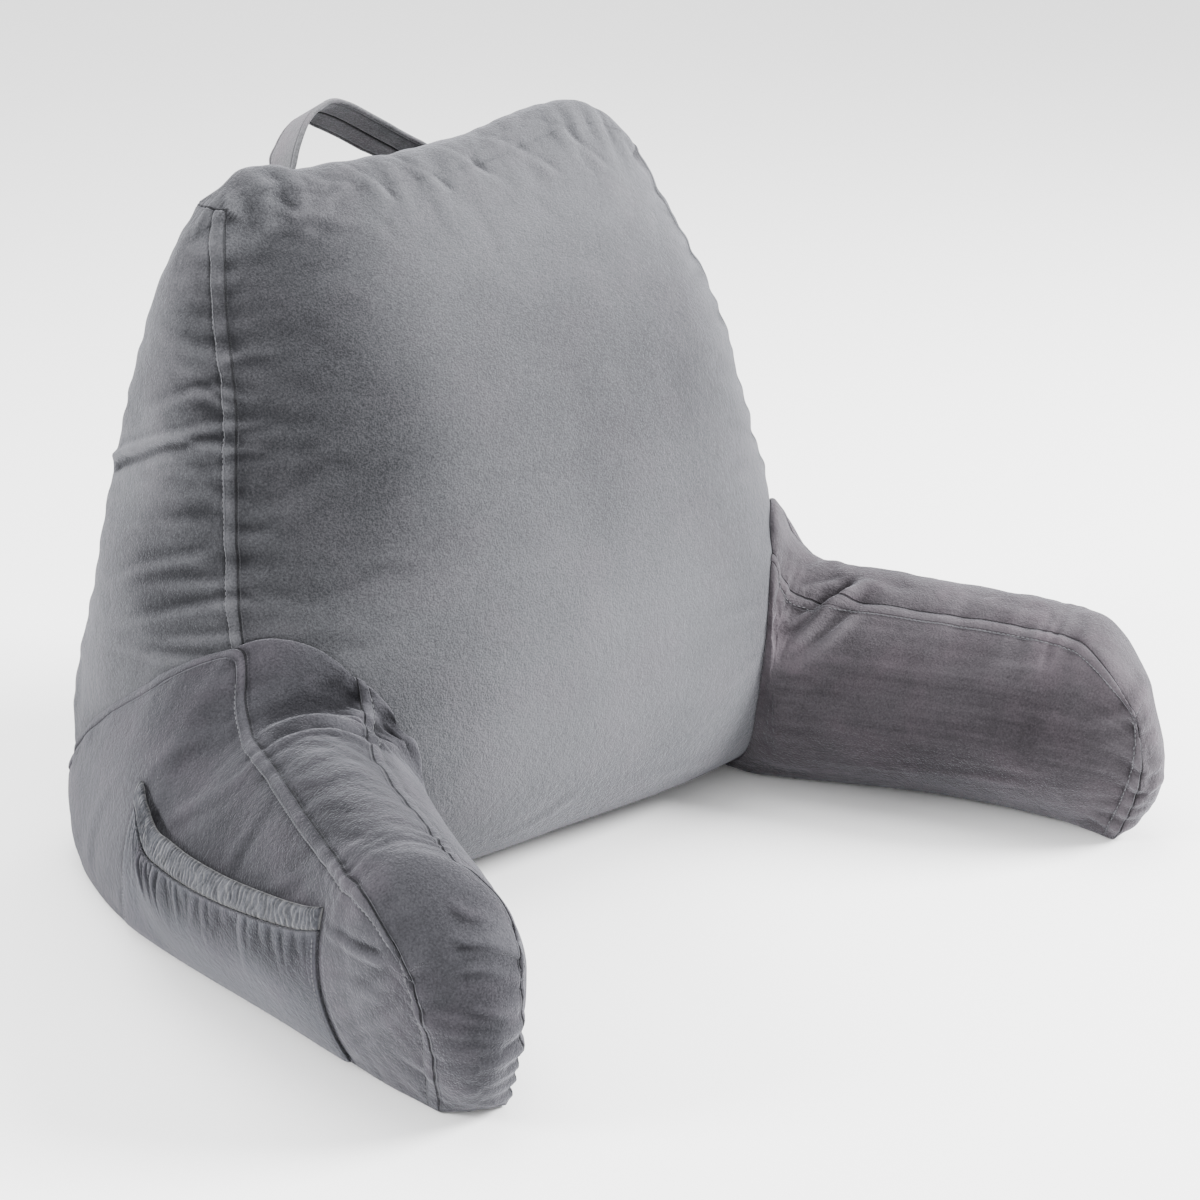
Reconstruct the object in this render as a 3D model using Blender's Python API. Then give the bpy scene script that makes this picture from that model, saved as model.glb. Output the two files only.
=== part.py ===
"""Reading pillow with arms.

A stuffed wedge backrest with two stuffed arms sewn round its lower corners, a pocket with an elastic
binding on the outer face of the left arm, and a carrying strap at the top of the back panel.

Metres, +Z up. The pillow rests on z = 0 and its front, the sitter's side, faces -Y. The origin is on
the flat base, under the middle of the backrest. Left and right are those of someone facing the front.
"""

import math
from collections import namedtuple

import bmesh
import bpy
from mathutils import Vector

# ---------------------------------------------------------------- sizes of the backrest
TOP_SEAM_HEIGHT = 0.474
TOP_STRIP_CROWN = 0.014
TOP_STRIP_FULLNESS = 8
FRONT_ROUNDNESS = 2.8
BACK_ROUNDNESS = 2.4
SIDE_REACH = 6
TOP_REACH = 6
BACKREST_CELLS = (24, 8, 26)

# A row for each level of the wedge: height, then the half width and depth of the two upright seams
# on each side, then how far each panel swells past the straight line between its seams.
Level = namedtuple("Level", "height front_x front_y back_x back_y front_crown back_crown side_crown")
LEVELS = [
    Level(0.000, 0.240, -0.070, 0.240, 0.118, 0.012, 0.006, 0.006),
    Level(0.025, 0.249, -0.088, 0.252, 0.134, 0.036, 0.012, 0.012),
    Level(0.060, 0.253, -0.094, 0.257, 0.142, 0.052, 0.016, 0.016),
    Level(0.110, 0.252, -0.092, 0.257, 0.139, 0.066, 0.020, 0.018),
    Level(0.160, 0.248, -0.078, 0.254, 0.126, 0.080, 0.022, 0.018),
    Level(0.200, 0.244, -0.063, 0.250, 0.114, 0.088, 0.022, 0.017),
    Level(0.250, 0.236, -0.050, 0.244, 0.104, 0.086, 0.022, 0.017),
    Level(0.300, 0.227, -0.039, 0.235, 0.095, 0.080, 0.021, 0.014),
    Level(0.350, 0.217, -0.028, 0.226, 0.086, 0.068, 0.018, 0.014),
    Level(0.400, 0.205, -0.004, 0.213, 0.076, 0.053, 0.015, 0.015),
    Level(0.447, 0.190, 0.018, 0.195, 0.067, 0.032, 0.011, 0.012),
    Level(0.474, 0.182, 0.027, 0.184, 0.058, 0.014, 0.006, 0.004),
]

# How far the top strip rises above its straight line, along it from the left end to the right.
TopPoint = namedtuple("TopPoint", "across rise")
TOP_LINE = [
    TopPoint(-1.00, -0.009),
    TopPoint(-0.82, 0.002),
    TopPoint(-0.60, -0.005),
    TopPoint(-0.20, -0.005),
    TopPoint(0.20, 0.002),
    TopPoint(0.60, 0.016),
    TopPoint(0.82, 0.012),
    TopPoint(1.00, -0.008),
]

# ---------------------------------------------------------------- sizes of the arms
# A row for each cross-section of an arm, from its rear end beside the backrest to its tip, with x
# outwards: the seams on either side of the top strip, the two edges that touch the floor, and how
# far the inner and the outer panel swell.
Station = namedtuple(
    "Station",
    "inner_x inner_y inner_z outer_x outer_y outer_z "
    "foot_in_x foot_in_y foot_out_x foot_out_y swell_in swell_out",
)
STATIONS = [
    Station(0.205, 0.128, 0.045, 0.262, 0.136, 0.062, 0.205, 0.128, 0.262, 0.128, 0.000, 0.008),
    Station(0.190, 0.080, 0.085, 0.269, 0.092, 0.108, 0.190, 0.080, 0.288, 0.084, 0.000, 0.007),
    Station(0.180, 0.000, 0.140, 0.269, 0.008, 0.163, 0.180, 0.000, 0.310, 0.002, 0.000, 0.010),
    Station(0.191, -0.114, 0.181, 0.246, -0.062, 0.199, 0.185, -0.098, 0.315, -0.060, 0.052, 0.023),
    Station(0.195, -0.125, 0.160, 0.254, -0.081, 0.168, 0.194, -0.116, 0.314, -0.080, 0.054, 0.028),
    Station(0.203, -0.138, 0.149, 0.266, -0.108, 0.153, 0.205, -0.134, 0.313, -0.104, 0.054, 0.032),
    Station(0.222, -0.172, 0.150, 0.281, -0.150, 0.153, 0.228, -0.170, 0.313, -0.146, 0.052, 0.034),
    Station(0.247, -0.232, 0.151, 0.303, -0.210, 0.151, 0.260, -0.226, 0.314, -0.205, 0.050, 0.033),
    Station(0.271, -0.298, 0.152, 0.327, -0.277, 0.149, 0.282, -0.290, 0.318, -0.268, 0.046, 0.026),
    Station(0.281, -0.331, 0.150, 0.336, -0.310, 0.146, 0.287, -0.322, 0.320, -0.303, 0.040, 0.020),
    Station(0.286, -0.412, 0.150, 0.339, -0.380, 0.146, 0.284, -0.364, 0.319, -0.344, 0.000, 0.000),
]
ARM_STRIP_CROWN = 0.013
ARM_STRIP_REACH = 8
ARM_OUTER_LEAN = 1.8
ARM_PANEL_FULLNESS = 0.75
ARM_TIP_CROWN = 0.020
ARM_TIP_ROUNDING = 0.95
ARM_CELLS = (30, 5, 12)
# The filling is not quite even: the foot of one arm spreads a little further than the other's.
ARM_SPREAD = {"arm_left": -0.013, "arm_right": 0.013}
SEAT_GAP = 0.0005

# ---------------------------------------------------------------- sizes of the pocket
# Its outline on the outer panel of the left arm: the rows of the arm's own grid that it covers.
POCKET_REAR_CELL = 8
POCKET_FRONT_CELL = 25
POCKET_TOP_CELL = 6
BAND_TOP_CELL = 8
POCKET_THICKNESS = 0.0022
POCKET_GAP = 0.0006
POCKET_MOUTH_STANDOFF = 0.0095
POCKET_MOUTH_SHAPE = 0.7
BAND_THICKNESS = 0.0042
BAND_GAP = 0.0004
BAND_WIDTH = 0.0155
BAND_EDGE_THINNING = 0.35
POCKET_FRONT_RAKE = -0.2
POCKET_REAR_RAKE = -0.5
POCKET_FOOT = 0.04
POCKET_FULLNESS = 1.6

# The pocket's mouth, from its rear end to its front one: how high it hangs above the floor.
MouthPoint = namedtuple("MouthPoint", "along height")
MOUTH = [
    MouthPoint(0.00, 0.112),
    MouthPoint(0.15, 0.101),
    MouthPoint(0.35, 0.094),
    MouthPoint(0.55, 0.096),
    MouthPoint(0.75, 0.103),
    MouthPoint(1.00, 0.122),
]

# ---------------------------------------------------------------- sizes of the handle
STRAP_WIDTH = 0.035
STRAP_THICKNESS = 0.0035
STRAP_CELLS = (34, 3, 1)
STRAP_SEAT_GAP = 0.0007
# The strap from its left foot to its right one: the middle of the strap, and the way its width lies.
# Where y is None the strap lies flat on the back panel.
StrapPoint = namedtuple("StrapPoint", "x y z width_x width_y width_z")
STRAP = [
    StrapPoint(-0.083, None, 0.396, 1.00, 0.00, 0.00),
    StrapPoint(-0.083, None, 0.412, 1.00, 0.00, 0.00),
    StrapPoint(-0.083, 0.087, 0.425, 1.00, 0.04, 0.00),
    StrapPoint(-0.085, 0.093, 0.446, 0.85, 0.50, 0.00),
    StrapPoint(-0.087, 0.096, 0.473, 0.10, 0.99, -0.12),
    StrapPoint(-0.080, 0.098, 0.488, 0.09, 0.98, -0.20),
    StrapPoint(-0.068, 0.101, 0.501, 0.02, 0.92, -0.38),
    StrapPoint(-0.052, 0.104, 0.507, -0.24, 0.84, -0.48),
    StrapPoint(-0.036, 0.105, 0.502, -0.38, 0.77, -0.52),
    StrapPoint(-0.018, 0.106, 0.493, -0.42, 0.77, -0.47),
    StrapPoint(0.002, 0.107, 0.482, -0.45, 0.77, -0.45),
    StrapPoint(0.024, 0.105, 0.469, -0.50, 0.80, -0.34),
    StrapPoint(0.043, 0.093, 0.448, -0.85, 0.52, -0.10),
    StrapPoint(0.055, 0.088, 0.431, -1.00, 0.02, -0.10),
    StrapPoint(0.059, None, 0.413, -1.00, 0.00, 0.00),
    StrapPoint(0.060, None, 0.397, -1.00, 0.00, 0.00),
]

# ---------------------------------------------------------------- colours
VELOUR_GREY = (0.20, 0.205, 0.225, 1.0)
BAND_GREY = (0.16, 0.165, 0.18, 1.0)
STRAP_GREY = (0.23, 0.235, 0.25, 1.0)


# ---------------------------------------------------------------- tools
def smooth(places, values, at):
    """The smooth curve through the values, which stand at ascending places, read at one place."""
    last = len(places) - 1
    i = 0
    while i < last - 1 and at > places[i + 1]:
        i += 1

    def slope(k):
        """The curve's slope at value k, from its neighbours."""
        before = max(k - 1, 0)
        after = min(k + 1, last)
        return (values[after] - values[before]) / (places[after] - places[before])

    span = places[i + 1] - places[i]
    f = (at - places[i]) / span
    return (
        values[i] * (2 * f**3 - 3 * f**2 + 1)
        + slope(i) * span * (f**3 - 2 * f**2 + f)
        + values[i + 1] * (3 * f**2 - 2 * f**3)
        + slope(i + 1) * span * (f**3 - f**2)
    )


def row_at(table, at, places=None):
    """The table's row at one place, between the rows that stand at the places, or at 0, 1, 2 and so on."""
    places = places or range(len(table))
    return type(table[0])(*(smooth(places, column, at) for column in zip(*table)))


def between(places, values, at):
    """The straight-line value at one place."""
    for i in range(len(places) - 1):
        if at <= places[i + 1]:
            f = (at - places[i]) / (places[i + 1] - places[i])
            return values[i] + (values[i + 1] - values[i]) * f
    return values[-1]


def material(name, colour, roughness):
    """A cloth material."""
    cloth = bpy.data.materials.new(name)
    cloth.use_nodes = True
    shader = cloth.node_tree.nodes["Principled BSDF"]
    shader.inputs["Base Color"].default_value = colour
    shader.inputs["Roughness"].default_value = roughness
    shader.inputs["Metallic"].default_value = 0.0
    return cloth


def collection(name):
    """A new collection in the scene."""
    group = bpy.data.collections.new(name)
    bpy.context.scene.collection.children.link(group)
    return group


def soft_block(name, cells, shape, group):
    """A closed block of cells whose corners go where shape(u, v, w) says, with u, v, w from 0 to 1."""
    mesh_data = bmesh.new()
    bmesh.ops.create_cube(mesh_data, size=1.0)
    bmesh.ops.translate(mesh_data, verts=mesh_data.verts, vec=(0.5, 0.5, 0.5))
    for axis, count in enumerate(cells):
        if count > 1:
            along = [
                edge
                for edge in mesh_data.edges
                if abs(edge.verts[0].co[axis] - edge.verts[1].co[axis]) > 0.5
            ]
            bmesh.ops.subdivide_edges(mesh_data, edges=along, cuts=count - 1)
    for vert in mesh_data.verts:
        vert.co = shape(*vert.co)
    if mesh_data.calc_volume(signed=True) < 0:
        bmesh.ops.reverse_faces(mesh_data, faces=mesh_data.faces)
    mesh = bpy.data.meshes.new(name)
    mesh_data.to_mesh(mesh)
    mesh_data.free()
    mesh.shade_smooth()
    piece = bpy.data.objects.new(name, mesh)
    group.objects.link(piece)
    facets = piece.modifiers.new("facets alike on neighbours", "TRIANGULATE")
    facets.quad_method = "FIXED"
    return piece


# ---------------------------------------------------------------- the backrest
LEVEL_HEIGHTS = [level.height for level in LEVELS]
TOP_PLACES = [point.across for point in TOP_LINE]
TOP_RISES = [point.rise for point in TOP_LINE]


def backrest_point(u, v, w, grow=0.0):
    """A point of the wedge: u from left to right, v from front to back, w from the floor up."""
    across = 2 * u - 1
    level = row_at(LEVELS, w * TOP_SEAM_HEIGHT, LEVEL_HEIGHTS)
    front_y = level.front_y - level.front_crown * (1 - abs(across) ** FRONT_ROUNDNESS)
    back_y = level.back_y + level.back_crown * (1 - abs(across) ** BACK_ROUNDNESS)
    half_width = level.front_x + (level.back_x - level.front_x) * v
    side_swell = level.side_crown * 4 * v * (1 - v)
    x = across * (half_width + side_swell * abs(across) ** SIDE_REACH)
    y = front_y + (back_y - front_y) * v
    top_crown = TOP_STRIP_CROWN * 4 * v * (1 - v) * (1 - across**TOP_STRIP_FULLNESS)
    lift = smooth(TOP_PLACES, TOP_RISES, across) + top_crown
    z = w * TOP_SEAM_HEIGHT + lift * w**TOP_REACH
    return Vector((x, y, z)) + grow * Vector((across, 2 * v - 1, 2 * w - 1))


def on_back_panel(x, height):
    """A place on the back panel, the panel's direction there to the right and its direction outwards."""
    w = height / TOP_SEAM_HEIGHT
    u = 0.5 + 0.5 * x / row_at(LEVELS, height, LEVEL_HEIGHTS).back_x
    step = 0.02
    across = backrest_point(u + step, 1, w) - backrest_point(u - step, 1, w)
    upwards = backrest_point(u, 1, w + step) - backrest_point(u, 1, w - step)
    return backrest_point(u, 1, w), across.normalized(), upwards.cross(across).normalized()


# ---------------------------------------------------------------- the arms
TIP = len(STATIONS) - 1
SHOULDER = TIP - 1
CELLS_ALONG, CELLS_ACROSS, CELLS_UP = ARM_CELLS
POCKET_REAR = POCKET_REAR_CELL / CELLS_ALONG
POCKET_FRONT = POCKET_FRONT_CELL / CELLS_ALONG
POCKET_TOP = POCKET_TOP_CELL / CELLS_UP
BAND_TOP = BAND_TOP_CELL / CELLS_UP


def mouth_height(u):
    """The height above the floor of the pocket's mouth, at a place along the arm."""
    f = between([0.0, POCKET_REAR, POCKET_FRONT, 1.0], [0.0, 0.0, 1.0, 1.0], u)
    return smooth([point.along for point in MOUTH], [point.height for point in MOUTH], f)


def pocket_lines(u, v, w):
    """Moves the outer panel's grid, so that its lines follow the pocket's mouth and its side seams."""
    reach = between([0.0, POCKET_REAR, POCKET_FRONT, SHOULDER / TIP, 1.0], [0.0, 1.0, 1.0, 0.4, 0.0], u)
    height = row_at(STATIONS, u * TIP).outer_z
    mouth = mouth_height(u) / height
    band_foot = mouth - BAND_WIDTH / height
    follow = between([0.0, POCKET_TOP, BAND_TOP, 1.0], [0.0, band_foot, mouth, 1.0], w)
    w_moved = w + (follow - w) * reach * v
    rakes = [0.0, POCKET_REAR_RAKE, POCKET_FRONT_RAKE, 0.0]
    rake = between([0.0, POCKET_REAR, POCKET_FRONT, 1.0], rakes, u)
    u_moved = u + rake / TIP * max(1 - w / POCKET_TOP, 0.0) * v
    return u_moved, w_moved


def arm_point(side, spread, u, v, w):
    """A point of an arm: u from its rear end to its tip, v from its inner side out, w from the floor up."""
    u, w = pocket_lines(u, v, w)
    place = u * TIP
    tip_share = max(place - SHOULDER, 0.0)
    height_share = w
    if tip_share > 0:
        height_share = w * (1 - ARM_TIP_ROUNDING * (1 - math.sqrt(1 - tip_share**2 / 2)))
        tip_share *= 1 - ARM_TIP_ROUNDING * (1 - math.sqrt(1 - w**2 / 2))
        place = SHOULDER + tip_share
    row = row_at(STATIONS, place)
    foot_shift = Vector((spread * (place / TIP) ** 2, 0))
    inner_foot = Vector((row.foot_in_x, row.foot_in_y)) + foot_shift
    outer_foot = Vector((row.foot_out_x, row.foot_out_y)) + foot_shift
    inner_seam = Vector((row.inner_x, row.inner_y))
    outer_seam = Vector((row.outer_x, row.outer_y))
    outwards = (outer_seam - inner_seam).normalized()
    lean_in = 1 - (1 - height_share) ** 2
    lean_out = height_share**ARM_OUTER_LEAN * (1 - tip_share) + lean_in * tip_share
    fullness = math.sin(math.pi * min(height_share, 1.0))
    swell = fullness**ARM_PANEL_FULLNESS * (1 - tip_share**3)
    inner = inner_foot.lerp(inner_seam, lean_in) - outwards * row.swell_in * swell
    outer = outer_foot.lerp(outer_seam, lean_out) + outwards * row.swell_out * swell
    forwards = Vector((outwards.y, -outwards.x))
    middle = 4 * v * (1 - v)
    tip_crown = ARM_TIP_CROWN * middle * math.sqrt(fullness)
    flat = inner.lerp(outer, v) + forwards * tip_crown * tip_share**4
    seam_height = row.inner_z + (row.outer_z - row.inner_z) * v
    z = height_share * seam_height + ARM_STRIP_CROWN * middle * w**ARM_STRIP_REACH
    return Vector((side * flat.x, flat.y, z))


def left_outer_panel(u, w, stand_off):
    """A point at a distance out from the left arm's outer panel."""
    step = 0.002
    side = -1
    spread = ARM_SPREAD["arm_left"]
    along = arm_point(side, spread, u + step, 1, w) - arm_point(side, spread, u - step, 1, w)
    upwards = arm_point(side, spread, u, 1, w + step) - arm_point(side, spread, u, 1, w - step)
    outwards = along.cross(upwards).normalized()
    if outwards.x > 0:
        outwards.negate()
    return arm_point(side, spread, u, 1, w) + outwards * stand_off


# ---------------------------------------------------------------- the pocket
def mouth_stand_off(f):
    """How far the pocket stands off the arm along its mouth, f from its rear end to its front one."""
    return POCKET_MOUTH_STANDOFF * (4 * f * (1 - f)) ** POCKET_MOUTH_SHAPE


def pocket_point(f, v, layer):
    """A point of the pocket's cloth: f from rear to front, v from the floor to the band."""
    u = POCKET_REAR + (POCKET_FRONT - POCKET_REAR) * f
    w = POCKET_FOOT + (POCKET_TOP - POCKET_FOOT) * v
    stand_off = POCKET_GAP + mouth_stand_off(f) * v**POCKET_FULLNESS
    return left_outer_panel(u, w, stand_off + POCKET_THICKNESS * layer)


def band_point(f, v, layer):
    """A point of the elastic binding: f from rear to front, v from its lower edge to the mouth."""
    u = POCKET_REAR + (POCKET_FRONT - POCKET_REAR) * f
    share = BAND_GAP / BAND_WIDTH
    w = POCKET_TOP + (BAND_TOP - POCKET_TOP) * (share + (1 - share) * v)
    stand_off = POCKET_GAP + mouth_stand_off(f)
    thickness = BAND_THICKNESS * (1 - BAND_EDGE_THINNING * (2 * v - 1) ** 2)
    return left_outer_panel(u, w, stand_off + thickness * layer)


# ---------------------------------------------------------------- the handle
def strap_rows():
    """The strap's table, with the feet laid on the back panel."""
    rows = []
    for point in STRAP:
        if point.y is None:
            seat, across, outwards = on_back_panel(point.x, point.z)
            middle = seat + outwards * (STRAP_SEAT_GAP + STRAP_THICKNESS / 2)
            rows.append(StrapPoint(*middle, *(across * point.width_x)))
        else:
            rows.append(point)
    return rows


def strap_point(rows, u, v, layer):
    """A point of the strap: u from its left foot to its right, v across its width."""
    at = u * (len(rows) - 1)
    row = row_at(rows, at)
    ahead = row_at(rows, at + 0.01)
    behind = row_at(rows, at - 0.01)
    tangent = Vector((ahead.x - behind.x, ahead.y - behind.y, ahead.z - behind.z)).normalized()
    width = Vector((row.width_x, row.width_y, row.width_z))
    width = (width - tangent * width.dot(tangent)).normalized()
    outwards = tangent.cross(width)
    middle = Vector((row.x, row.y, row.z))
    return middle + width * STRAP_WIDTH * (v - 0.5) + outwards * STRAP_THICKNESS * (layer - 0.5)


# ---------------------------------------------------------------- building
def build():
    """Makes every piece of the pillow."""
    for old in list(bpy.data.objects):
        bpy.data.objects.remove(old)
    pillow = collection("reading_pillow")
    cutters = collection("cutters")
    velour = material("velour", VELOUR_GREY, 0.85)
    binding = material("binding", BAND_GREY, 0.90)
    webbing = material("webbing", STRAP_GREY, 0.80)

    backrest = soft_block("backrest", BACKREST_CELLS, backrest_point, pillow)
    backrest.data.materials.append(velour)

    def grown(u, v, w):
        """The backrest with the seating gap added all round."""
        return backrest_point(u, v, w, SEAT_GAP)

    seat = soft_block("arm_seat", BACKREST_CELLS, grown, cutters)
    seat.hide_render = True
    seat.display_type = "WIRE"

    for name, side in (("arm_left", -1), ("arm_right", 1)):
        spread = ARM_SPREAD[name]

        def shape(u, v, w, side=side, spread=spread):
            """This arm's form."""
            return arm_point(side, spread, u, v, w)

        arm = soft_block(name, ARM_CELLS, shape, pillow)
        arm.data.materials.append(velour)
        fitted = arm.modifiers.new("fitted to the backrest", "BOOLEAN")
        fitted.operation = "DIFFERENCE"
        fitted.object = seat

    pocket_cells = (POCKET_FRONT_CELL - POCKET_REAR_CELL, POCKET_TOP_CELL, 1)
    pocket = soft_block("pocket", pocket_cells, pocket_point, pillow)
    pocket.data.materials.append(velour)

    band_cells = (POCKET_FRONT_CELL - POCKET_REAR_CELL, BAND_TOP_CELL - POCKET_TOP_CELL, 1)
    band = soft_block("pocket_band", band_cells, band_point, pillow)
    band.data.materials.append(binding)

    rows = strap_rows()

    def strap(u, v, layer):
        """The strap's form."""
        return strap_point(rows, u, v, layer)

    handle = soft_block("handle", STRAP_CELLS, strap, pillow)
    handle.data.materials.append(webbing)


build()
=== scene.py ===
"""A reading pillow: a stuffed backrest with two stuffed arms, in short-pile grey velour."""

import math
from collections import namedtuple

import bpy
import numpy as np
from mathutils import Euler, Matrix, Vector, noise
from mathutils.bvhtree import BVHTree
from mathutils.kdtree import KDTree


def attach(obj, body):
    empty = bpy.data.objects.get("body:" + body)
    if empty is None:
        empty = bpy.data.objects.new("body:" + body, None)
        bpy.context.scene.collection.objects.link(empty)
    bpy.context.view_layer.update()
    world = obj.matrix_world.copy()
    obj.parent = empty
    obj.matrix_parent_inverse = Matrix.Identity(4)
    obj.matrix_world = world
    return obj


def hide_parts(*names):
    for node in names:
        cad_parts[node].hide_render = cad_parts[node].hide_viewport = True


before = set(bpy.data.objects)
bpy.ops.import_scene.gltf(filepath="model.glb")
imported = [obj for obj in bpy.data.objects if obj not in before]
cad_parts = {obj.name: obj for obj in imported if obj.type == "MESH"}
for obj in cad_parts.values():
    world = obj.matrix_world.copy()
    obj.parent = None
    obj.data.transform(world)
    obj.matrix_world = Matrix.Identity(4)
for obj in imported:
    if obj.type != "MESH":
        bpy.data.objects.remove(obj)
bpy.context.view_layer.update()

# ------------------------------------------------------------------------------------------------
# The backrest: a wedge of velour panels (front, back, two sides, a top strip and a base), sewn
# inside out, turned and stuffed until the front bellies. The side panels' front edges are lapped
# and topstitched into a flat welt, and the filling pulls the cover into folds near the seams.
TOP_SEAM_HEIGHT = 0.474
TOP_STRIP_CROWN = 0.014
FRONT_ROUNDNESS = 2.8
BACK_ROUNDNESS = 2.4
EDGE_REACH = 6

# The wedge at one height: its half width and its y at the front and at the back seams, and how far
# the filling swells its front, its back and its sides out beyond those.
Level = namedtuple("Level", "height front_x front_y back_x back_y front_crown back_crown side_crown")
LEVELS = [
    Level(0.000, 0.240, -0.070, 0.240, 0.118, 0.012, 0.006, 0.006),
    Level(0.025, 0.249, -0.088, 0.252, 0.134, 0.036, 0.012, 0.012),
    Level(0.060, 0.253, -0.094, 0.257, 0.142, 0.052, 0.016, 0.016),
    Level(0.110, 0.252, -0.092, 0.257, 0.139, 0.066, 0.020, 0.018),
    Level(0.160, 0.248, -0.078, 0.254, 0.126, 0.080, 0.022, 0.018),
    Level(0.200, 0.244, -0.063, 0.250, 0.114, 0.088, 0.022, 0.017),
    Level(0.250, 0.236, -0.050, 0.244, 0.104, 0.086, 0.022, 0.017),
    Level(0.300, 0.227, -0.039, 0.235, 0.095, 0.080, 0.021, 0.014),
    Level(0.350, 0.217, -0.028, 0.226, 0.086, 0.068, 0.018, 0.014),
    Level(0.400, 0.205, -0.004, 0.213, 0.076, 0.053, 0.015, 0.015),
    Level(0.447, 0.190, 0.018, 0.195, 0.067, 0.032, 0.011, 0.012),
    Level(0.474, 0.182, 0.027, 0.184, 0.058, 0.014, 0.006, 0.004),
]

# How far the top edge rises or sags, from the left corner at -1 to the right one at 1.
TopPoint = namedtuple("TopPoint", "across rise")
TOP_LINE = [
    TopPoint(-1.00, -0.009),
    TopPoint(-0.82, 0.002),
    TopPoint(-0.60, -0.005),
    TopPoint(-0.20, -0.005),
    TopPoint(0.20, 0.002),
    TopPoint(0.60, 0.016),
    TopPoint(0.82, 0.012),
    TopPoint(1.00, -0.008),
]

# A sharp fold in the cover: its two ends, its width and its depth.
Fold = namedtuple("Fold", "x y z to_x to_y to_z width depth")
FOLD_REACH = 0.02
FOLD_WAVER = 0.45
FOLD_EASES_OUT = 2.0
FOLD_START = 0.15
FOLD_PHASES_PER_METRE = 90.0
FOLD_RIDGE = 0.9
FOLD_RIDGE_WIDTH = 0.8
FOLD_VALLEY = 0.7
FOLD_VALLEY_AWAY = 1.1
BACKREST_FOLDS = [
    Fold(-0.225, -0.022, 0.333, -0.242, 0.086, 0.298, 0.0045, 0.0062),
    Fold(-0.238, 0.012, 0.326, -0.227, -0.026, 0.321, 0.0045, 0.0019),
    Fold(-0.230, 0.009, 0.355, -0.221, -0.019, 0.350, 0.0045, 0.0019),
    Fold(-0.226, 0.001, 0.362, -0.218, -0.019, 0.358, 0.0036, 0.0012),
    Fold(-0.238, 0.043, 0.337, -0.222, -0.014, 0.355, 0.0055, 0.0020),
    Fold(-0.254, 0.047, 0.261, -0.242, -0.021, 0.269, 0.0065, 0.0012),
    Fold(-0.260, 0.060, 0.215, -0.248, -0.020, 0.251, 0.0060, 0.0019),
    Fold(-0.262, 0.029, 0.217, -0.244, -0.039, 0.237, 0.0055, 0.0017),
    Fold(-0.265, 0.047, 0.193, -0.246, -0.044, 0.220, 0.0055, 0.0020),
    Fold(-0.265, 0.016, 0.189, -0.248, -0.053, 0.201, 0.0050, 0.0015),
    Fold(-0.266, 0.064, 0.170, -0.258, -0.041, 0.186, 0.0060, 0.0014),
    Fold(-0.175, 0.033, 0.472, -0.195, 0.043, 0.455, 0.0055, 0.0014),
    Fold(-0.176, 0.028, 0.469, -0.197, 0.028, 0.443, 0.0050, 0.0011),
    Fold(-0.226, 0.043, 0.388, -0.214, -0.012, 0.375, 0.0070, 0.0010),
    Fold(-0.247, 0.033, 0.291, -0.230, -0.027, 0.308, 0.0060, 0.0011),
    Fold(-0.172, 0.033, 0.475, -0.144, 0.022, 0.477, 0.0050, 0.0011),
    Fold(-0.122, -0.005, 0.444, -0.151, 0.005, 0.452, 0.0060, 0.0008),
    Fold(-0.098, -0.003, 0.449, -0.134, 0.007, 0.458, 0.0060, 0.0008),
    Fold(-0.200, -0.047, 0.340, -0.221, -0.028, 0.338, 0.0040, 0.0012),
    Fold(-0.206, -0.050, 0.320, -0.224, -0.032, 0.322, 0.0040, 0.0013),
    Fold(-0.190, -0.028, 0.381, -0.211, -0.014, 0.376, 0.0040, 0.0009),
    Fold(-0.202, -0.037, 0.355, -0.217, -0.024, 0.354, 0.0036, 0.0009),
    Fold(-0.209, -0.062, 0.283, -0.231, -0.043, 0.278, 0.0045, 0.0007),
    Fold(-0.222, -0.071, 0.231, -0.239, -0.054, 0.234, 0.0045, 0.0008),
    Fold(-0.085, 0.036, 0.482, -0.065, 0.007, 0.462, 0.0036, 0.0012),
    Fold(-0.046, 0.036, 0.484, -0.018, 0.005, 0.462, 0.0036, 0.0013),
    Fold(-0.005, 0.036, 0.485, 0.021, 0.005, 0.466, 0.0038, 0.0013),
    Fold(0.033, 0.030, 0.488, 0.071, 0.000, 0.466, 0.0042, 0.0013),
    Fold(0.079, 0.026, 0.495, 0.122, 0.001, 0.467, 0.0042, 0.0012),
    Fold(0.132, 0.028, 0.498, 0.176, 0.015, 0.453, 0.0060, 0.0009),
    Fold(-0.165, 0.028, 0.476, -0.143, 0.009, 0.460, 0.0050, 0.0010),
    Fold(0.081, -0.155, 0.150, 0.147, -0.141, 0.153, 0.0070, 0.0006),
    Fold(0.071, -0.155, 0.107, 0.139, -0.145, 0.109, 0.0070, 0.0006),
    Fold(-0.004, -0.144, 0.055, 0.094, -0.132, 0.039, 0.0080, 0.0006),
    Fold(-0.098, -0.129, 0.035, -0.040, -0.142, 0.052, 0.0060, 0.0008),
    Fold(0.241, 0.080, 0.300, 0.226, -0.022, 0.322, 0.0060, 0.0017),
    Fold(0.255, 0.060, 0.236, 0.243, -0.044, 0.222, 0.0060, 0.0011),
    Fold(0.226, 0.050, 0.384, 0.212, -0.010, 0.368, 0.0070, 0.0008),
    Fold(-0.120, 0.087, 0.440, -0.160, 0.100, 0.352, 0.0070, 0.0009),
    Fold(0.110, 0.087, 0.440, 0.150, 0.102, 0.360, 0.0070, 0.0009),
    Fold(-0.150, 0.150, 0.060, -0.060, 0.162, 0.090, 0.0080, 0.0009),
    Fold(0.160, 0.150, 0.070, 0.080, 0.160, 0.110, 0.0080, 0.0009),
]

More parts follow.
